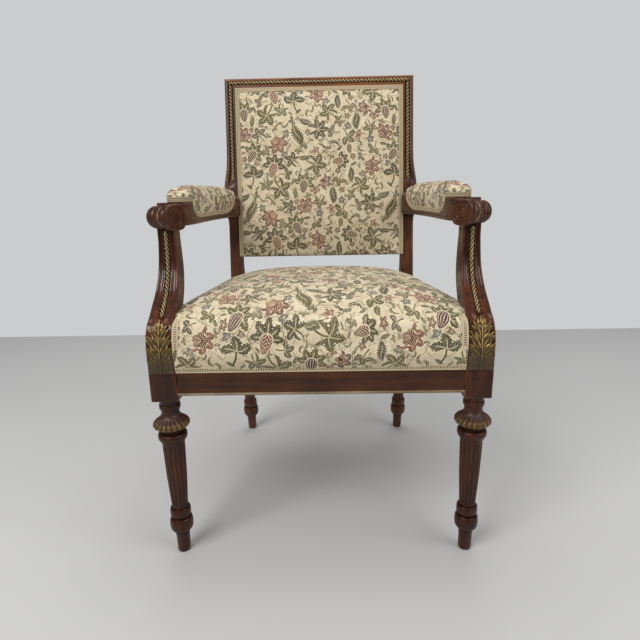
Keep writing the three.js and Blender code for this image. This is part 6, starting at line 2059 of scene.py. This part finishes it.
def corded(run: Array, across: Array) -> Array:
    """Relief of the narrow gimp: cords side by side."""
    return 0.2 + 0.9 * np.abs(np.cos(across * math.pi * 1.5)) ** 0.8 + 0.12 * np.sin(run * 2.6 + across * 5)


def braid_strip(
    name: str,
    line: Callable[[float], Array],
    width: float,
    proud: float,
    sign: int,
    relief: Callable[[Array, Array], Array],
    looped: bool = False,
) -> Piece:
    """Lays a band of braid on a surface.

    Args:
        name: the piece's name.
        line: gives the band's run at a distance across it, as places.
        width: the band's width.
        proud: how far it stands off the surface at most.
        sign: -1 to mirror the band to the right side.
        relief: height of the braid, from 0 to about 1.5, by run and place across.
        looped: whether the band runs round and meets itself.

    Returns:
        The new piece.
    """
    across = np.linspace(-1, 1, 15)
    lines = np.array([line((step + 1) / 2 * width) for step in across])
    middle = lines[len(across) // 2]
    steps = np.concatenate([[0], np.cumsum(np.linalg.norm(np.diff(middle, axis=0), axis=1))])
    count = max(int(steps[-1] / 1.15), 8)
    marks = np.linspace(0, steps[-1], count, endpoint=not looped)
    rows = np.array([
        np.stack([np.interp(marks, steps, each[:, k]) for k in range(3)], axis=1) for each in lines
    ])
    forward = np.gradient(rows, axis=1)
    sideways = np.gradient(rows, axis=0)
    normal = np.cross(forward, sideways)
    normal /= np.maximum(np.linalg.norm(normal, axis=2), 1e-9)[..., None]
    run, over = np.meshgrid(marks, across, indexing="xy")
    height = relief(run, over) * proud / 1.5
    outward = rows - rows.reshape(-1, 3).mean(0)
    if (normal * outward).sum() < 0:
        normal = -normal
    skin = rows + normal * height[..., None]
    back = rows - normal * 0.25
    places = np.concatenate([back[:1], skin, back[-1:]])
    marked = np.stack([run, over, np.zeros_like(run)], axis=-1)
    marked = np.concatenate([marked[:1], marked, marked[-1:]])
    return sheet_on(
        name, mirrored(places, sign).transpose(1, 0, 2), wrapped=True, closed=not looped,
        marks={"braid": marked.transpose(1, 0, 2)},
    ) if not looped else sheet_on(
        name, mirrored(np.concatenate([places, places[:1]]), sign), wrapped=True, closed=False,
        marks={"braid": np.concatenate([marked, marked[:1]])},
    )


@dataclass
class Back:
    """The stuffed back, its gimp and the outside back."""

    cloth: Cloth
    half: float = 208.6
    low: float = 62.0
    high: float = 476.7
    rim: float = 3.4
    crown: float = 26.0
    power: float = 3.6
    gimp_width: float = 11.5

    def depth(self, x: Array, z: Array) -> Array:
        """How far the cover stands in front of the frame."""
        mid, reach = (self.low + self.high) / 2, (self.high - self.low) / 2
        across = np.clip(1 - np.abs(x / self.half) ** self.power, 0, 1)
        along = np.clip(1 - np.abs((z - mid) / reach) ** self.power, 0, 1)
        return -(self.rim + self.crown * across * along)

    def form(self) -> tuple[Array, Array]:
        """Places of the cover and the cloth at each."""
        z = np.linspace(self.low, self.high, 104)
        x = np.linspace(-self.half, self.half, 106)
        across, up = np.meshgrid(x, z, indexing="xy")
        depth = self.depth(across, up)
        places = np.stack([across, depth, up], axis=-1)
        rim = []
        for line in (places[:1], places[-1:]):
            low = line.copy()
            low[..., 1] = -0.3
            rim.append(low)
        places = np.concatenate([rim[0], places, rim[1]])
        left, right = places[:, :1].copy(), places[:, -1:].copy()
        left[..., 1] = right[..., 1] = -0.3
        places = np.concatenate([left, places, right], axis=1)
        cloth = np.stack([places[..., 0] + 26, places[..., 2] + 40], axis=-1)
        return leaned(places), cloth

    def gimp_line(self, inset: float) -> Array:
        """Run of the gimp round the panel at a distance in from its edge."""
        half, high = self.half - inset, self.high - inset
        corners = [(-half, self.low), (-half, high), (half, high), (half, self.low)]
        points = []
        for (x0, z0), (x1, z1) in zip(corners[:-1], corners[1:]):
            share = np.linspace(0, 1, 120, endpoint=False)
            points.append(np.column_stack([x0 + (x1 - x0) * share, z0 + (z1 - z0) * share]))
        plan = np.vstack([*points, [corners[-1]]])
        return leaned(np.column_stack([plan[:, 0], self.depth(plan[:, 0], plan[:, 1]) - 0.1, plan[:, 1]]))

    def build(self) -> None:
        """Builds the cover, its gimp and the outside back."""
        places, cloth = self.form()
        cover = self.cloth.cover("back_cover_tapestry", places, cloth, 1.2, 4.0, (0, -1, 0))
        closed_up(cover)
        self.cloth.mark(cover)
        dressed(cover, self.cloth.finishes.tapestry, "back_cover", 80)
        gimp = braid_strip("back_gimp_braided", self.gimp_line, self.gimp_width, 1.8, 1, corded)
        dressed(gimp, self.cloth.finishes.plain_gimp, "back_gimp", 60, 1.2)
        self.outside()

    def outside(self) -> None:
        """Builds the flat panel behind the back."""
        z = np.linspace(self.low + 0.3, 469.3, 84)
        x = np.linspace(-self.half, self.half, 86)
        across, up = np.meshgrid(x, z, indexing="xy")
        soft = np.clip(1 - np.abs(across / self.half) ** 8, 0, 1) * np.clip(1 - np.abs((up - 265.7) / 203.7) ** 8, 0, 1)
        face = np.stack([across, 31.9 + 1.3 * soft, up], axis=-1)
        edge = face.copy()
        edge[..., 1] = 31.3
        places = np.concatenate([edge[:1], face, edge[-1:]])
        left, right = places[:, :1].copy(), places[:, -1:].copy()
        left[..., 1] = right[..., 1] = 31.3
        places = np.concatenate([left, places, right], axis=1)
        cloth = np.stack([-places[..., 0] + 80, places[..., 2] + 12], axis=-1)
        panel = self.cloth.cover("outside_back_tapestry", leaned(places), cloth, 0, 0)
        closed_up(panel)
        self.cloth.mark(panel)
        dressed(panel, self.cloth.finishes.tapestry, "outside_back_cover", 80)


@dataclass
class ArmPads:
    """The stuffed pads on the arms, each with a corded gimp round its foot."""

    cloth: Cloth
    arms: Arms
    bottom: float = 622.0
    gimp_width: float = 9.5
    shares: tuple = (
        (0, 1), (0.21, 1), (0.3, 1.035), (0.4, 1.08), (0.5, 1.085), (0.62, 1.03), (0.72, 0.95), (0.81, 0.84),
        (0.88, 0.7), (0.94, 0.52), (0.98, 0.28), (1.0, 0.0),
    )

    def form(self) -> tuple[Array, Array]:
        """Places of the pad, rows up its side, and the cloth at each."""
        loop = self.arms.pad_outline(0, 150)
        front, rear = self.arms.pad_front + self.arms.pad_half, self.arms.pad_rear - self.arms.pad_half
        y = np.clip(loop[:, 1], front, rear)
        middle = np.column_stack([self.arms.middle(y), y])
        low = self.arms.rest(loop[:, 1])
        along = (loop[:, 1] - self.arms.pad_front) / (self.arms.pad_rear - self.arms.pad_front) * 2 - 1
        high = PAD_TOP - 9 * np.abs(along) ** 6
        ups, spreads = np.array(self.shares).T
        rows, cloth = [], []
        walk = 0.0
        last = None
        for up in np.concatenate([np.linspace(0, 0.9, 15), [0.93, 0.955, 0.975, 0.99, 1.0]]):
            spread = float(np.interp(up, ups, spreads))
            height = low + (high - low) * up
            here = np.array([spread * self.arms.pad_half, (PAD_TOP - self.bottom) * up])
            walk += 0 if last is None else float(np.linalg.norm(here - last))
            last = here
            plan = middle + (loop - middle) * spread
            rows.append(np.column_stack([plan, height]))
            way = (loop - middle) / np.linalg.norm(loop - middle, axis=1)[:, None]
            cloth.append(middle + way * (60 - walk))
        return np.array(rows), np.array(cloth)

    def build(self) -> None:
        """Builds both pads with their gimp."""
        for side in Side:
            places, cloth = self.form()
            name = f"{side.word}_arm_pad"
            flat = np.concatenate([cloth / 1000, np.zeros(cloth.shape[:2] + (1,))], axis=-1)
            pad = sheet_on(f"{name}_tapestry", mirrored(places, side.value), closed=False, marks={"cloth": flat})
            count = len(pad.data.vertices)
            self.cloth.swell(pad, np.arange(min(300, count)), 1.0, 2.0, (0, 0, 1))
            applied(pad, "SUBSURF", {"levels": 1, "render_levels": 1})
            self.cloth.mark(pad)
            dressed(pad, self.cloth.finishes.tapestry, name, 80)

            def line(up: float) -> Array:
                plan = self.arms.pad_outline(0.4, 900)
                plan = np.vstack([plan, plan[:1]])
                run = np.concatenate([[0], np.cumsum(np.linalg.norm(np.diff(plan, axis=0), axis=1))])
                height = self.arms.rest(plan[:, 1])
                slope = np.convolve(np.pad(np.gradient(height, run), 6, mode="wrap"), np.ones(13) / 13, mode="valid")
                lean = np.sqrt(1 + slope**2)
                moved = run - up * slope / lean
                places = [np.interp(moved, run, plan[:, k], period=run[-1]) for k in (0, 1)]
                return np.column_stack([*places, height + 0.2 + up / lean])

            gimp = braid_strip(f"{side.word}_arm_gimp_braided", line, self.gimp_width, 1.8, side.value, corded, looped=True)
            dressed(gimp, self.cloth.finishes.plain_gimp, f"{side.word}_arm_gimp", 60, 1.2)


@dataclass
class Inside:
    """What the upholstery hides: frame blocks, webs, springs, hessian and stuffing."""

    finishes: Finishes

    def build(self) -> None:
        """Gives the CAD's own pieces their finishes."""
        for name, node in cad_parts.items():
            material = None
            if "corner_block" in name or name == "lower_back_rail":
                material = self.finishes.beech
            elif "web" in name or name == "seat_hessian":
                material = self.finishes.jute
            elif "stuffing" in name:
                material = self.finishes.hair
            elif "spring" in name:
                material = self.finishes.steel
            if material:
                node.data.materials.clear()
                node.data.materials.append(material)
                log.info("%s: dressed", name)


@dataclass
class Set:
    """The floor, the lights and the camera."""

    eye: tuple = (0.0146037, -1.0568643, 0.6627074)
    aim: tuple = (75.449243, 1.047436, 0.702434)
    lens: float = 27.28

    def build(self) -> None:
        """Builds the studio round the chair."""
        deselect()
        bpy.ops.mesh.primitive_plane_add(size=4, location=(0, -0.75, -0.0005))
        floor = bpy.context.object
        floor.name = "studio_floor"
        floor.data.materials.append(Studio().mixed())
        bpy.ops.object.camera_add(location=self.eye, rotation=[math.radians(turn) for turn in self.aim])
        camera = bpy.context.object
        camera.data.lens = self.lens
        camera.data.sensor_width = 36
        camera.data.clip_start = 0.02
        bpy.context.scene.camera = camera
        for name, place, aim, size, power in (
            ("key", (-1.3, -1.7, 2.2), (50, 0, -36), 1.3, 44),
            ("fill", (1.8, -1.2, 1.5), (62, 0, 55), 1.6, 19),
            ("top", (0.0, 0.5, 2.6), (-8, 0, 0), 1.5, 20),
        ):
            bpy.ops.object.light_add(type="AREA", location=place, rotation=[math.radians(turn) for turn in aim])
            lamp = bpy.context.object
            lamp.name = name
            lamp.data.size = size
            lamp.data.energy = power
        world = bpy.data.worlds.new("studio")
        bpy.context.scene.world = world
        world.use_nodes = True
        nodes, links = world.node_tree.nodes, world.node_tree.links
        nodes.clear()
        seen = nodes.new("ShaderNodeBackground")
        seen.inputs[0].default_value = colour(203, 204, 205)
        lit = nodes.new("ShaderNodeBackground")
        lit.inputs[0].default_value = colour(214, 216, 220)
        lit.inputs[1].default_value = 0.55
        shone = nodes.new("ShaderNodeBackground")
        shone.inputs[0].default_value = colour(214, 214, 214)
        shone.inputs[1].default_value = 0.2
        dimmed = nodes.new("ShaderNodeMixShader")
        path = nodes.new("ShaderNodeLightPath")
        mixed = nodes.new("ShaderNodeMixShader")
        output = nodes.new("ShaderNodeOutputWorld")
        links.new(path.outputs["Is Camera Ray"], mixed.inputs[0])
        links.new(path.outputs["Is Glossy Ray"], dimmed.inputs[0])
        links.new(lit.outputs[0], dimmed.inputs[1])
        links.new(shone.outputs[0], dimmed.inputs[2])
        links.new(dimmed.outputs[0], mixed.inputs[1])
        links.new(seen.outputs[0], mixed.inputs[2])
        links.new(mixed.outputs[0], output.inputs[0])
        bpy.context.scene.view_settings.view_transform = "Standard"


def main() -> None:
    """Builds the chair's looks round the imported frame."""
    logging.basicConfig(level=logging.INFO, format="%(relativeCreated)d %(name)s: %(message)s")
    finishes = Finishes()
    Set().build()
    Legs(finishes).build()
    Rails(finishes).build()
    supports = Supports(finishes)
    supports.build()
    arms = Arms(finishes)
    arms.build()
    BackFrame(finishes).build()
    cloth = Cloth(finishes)
    Seat(cloth).build(supports)
    Back(cloth).build()
    ArmPads(cloth, arms).build()
    Inside(finishes).build()


if __name__ == "__main__":
    main()
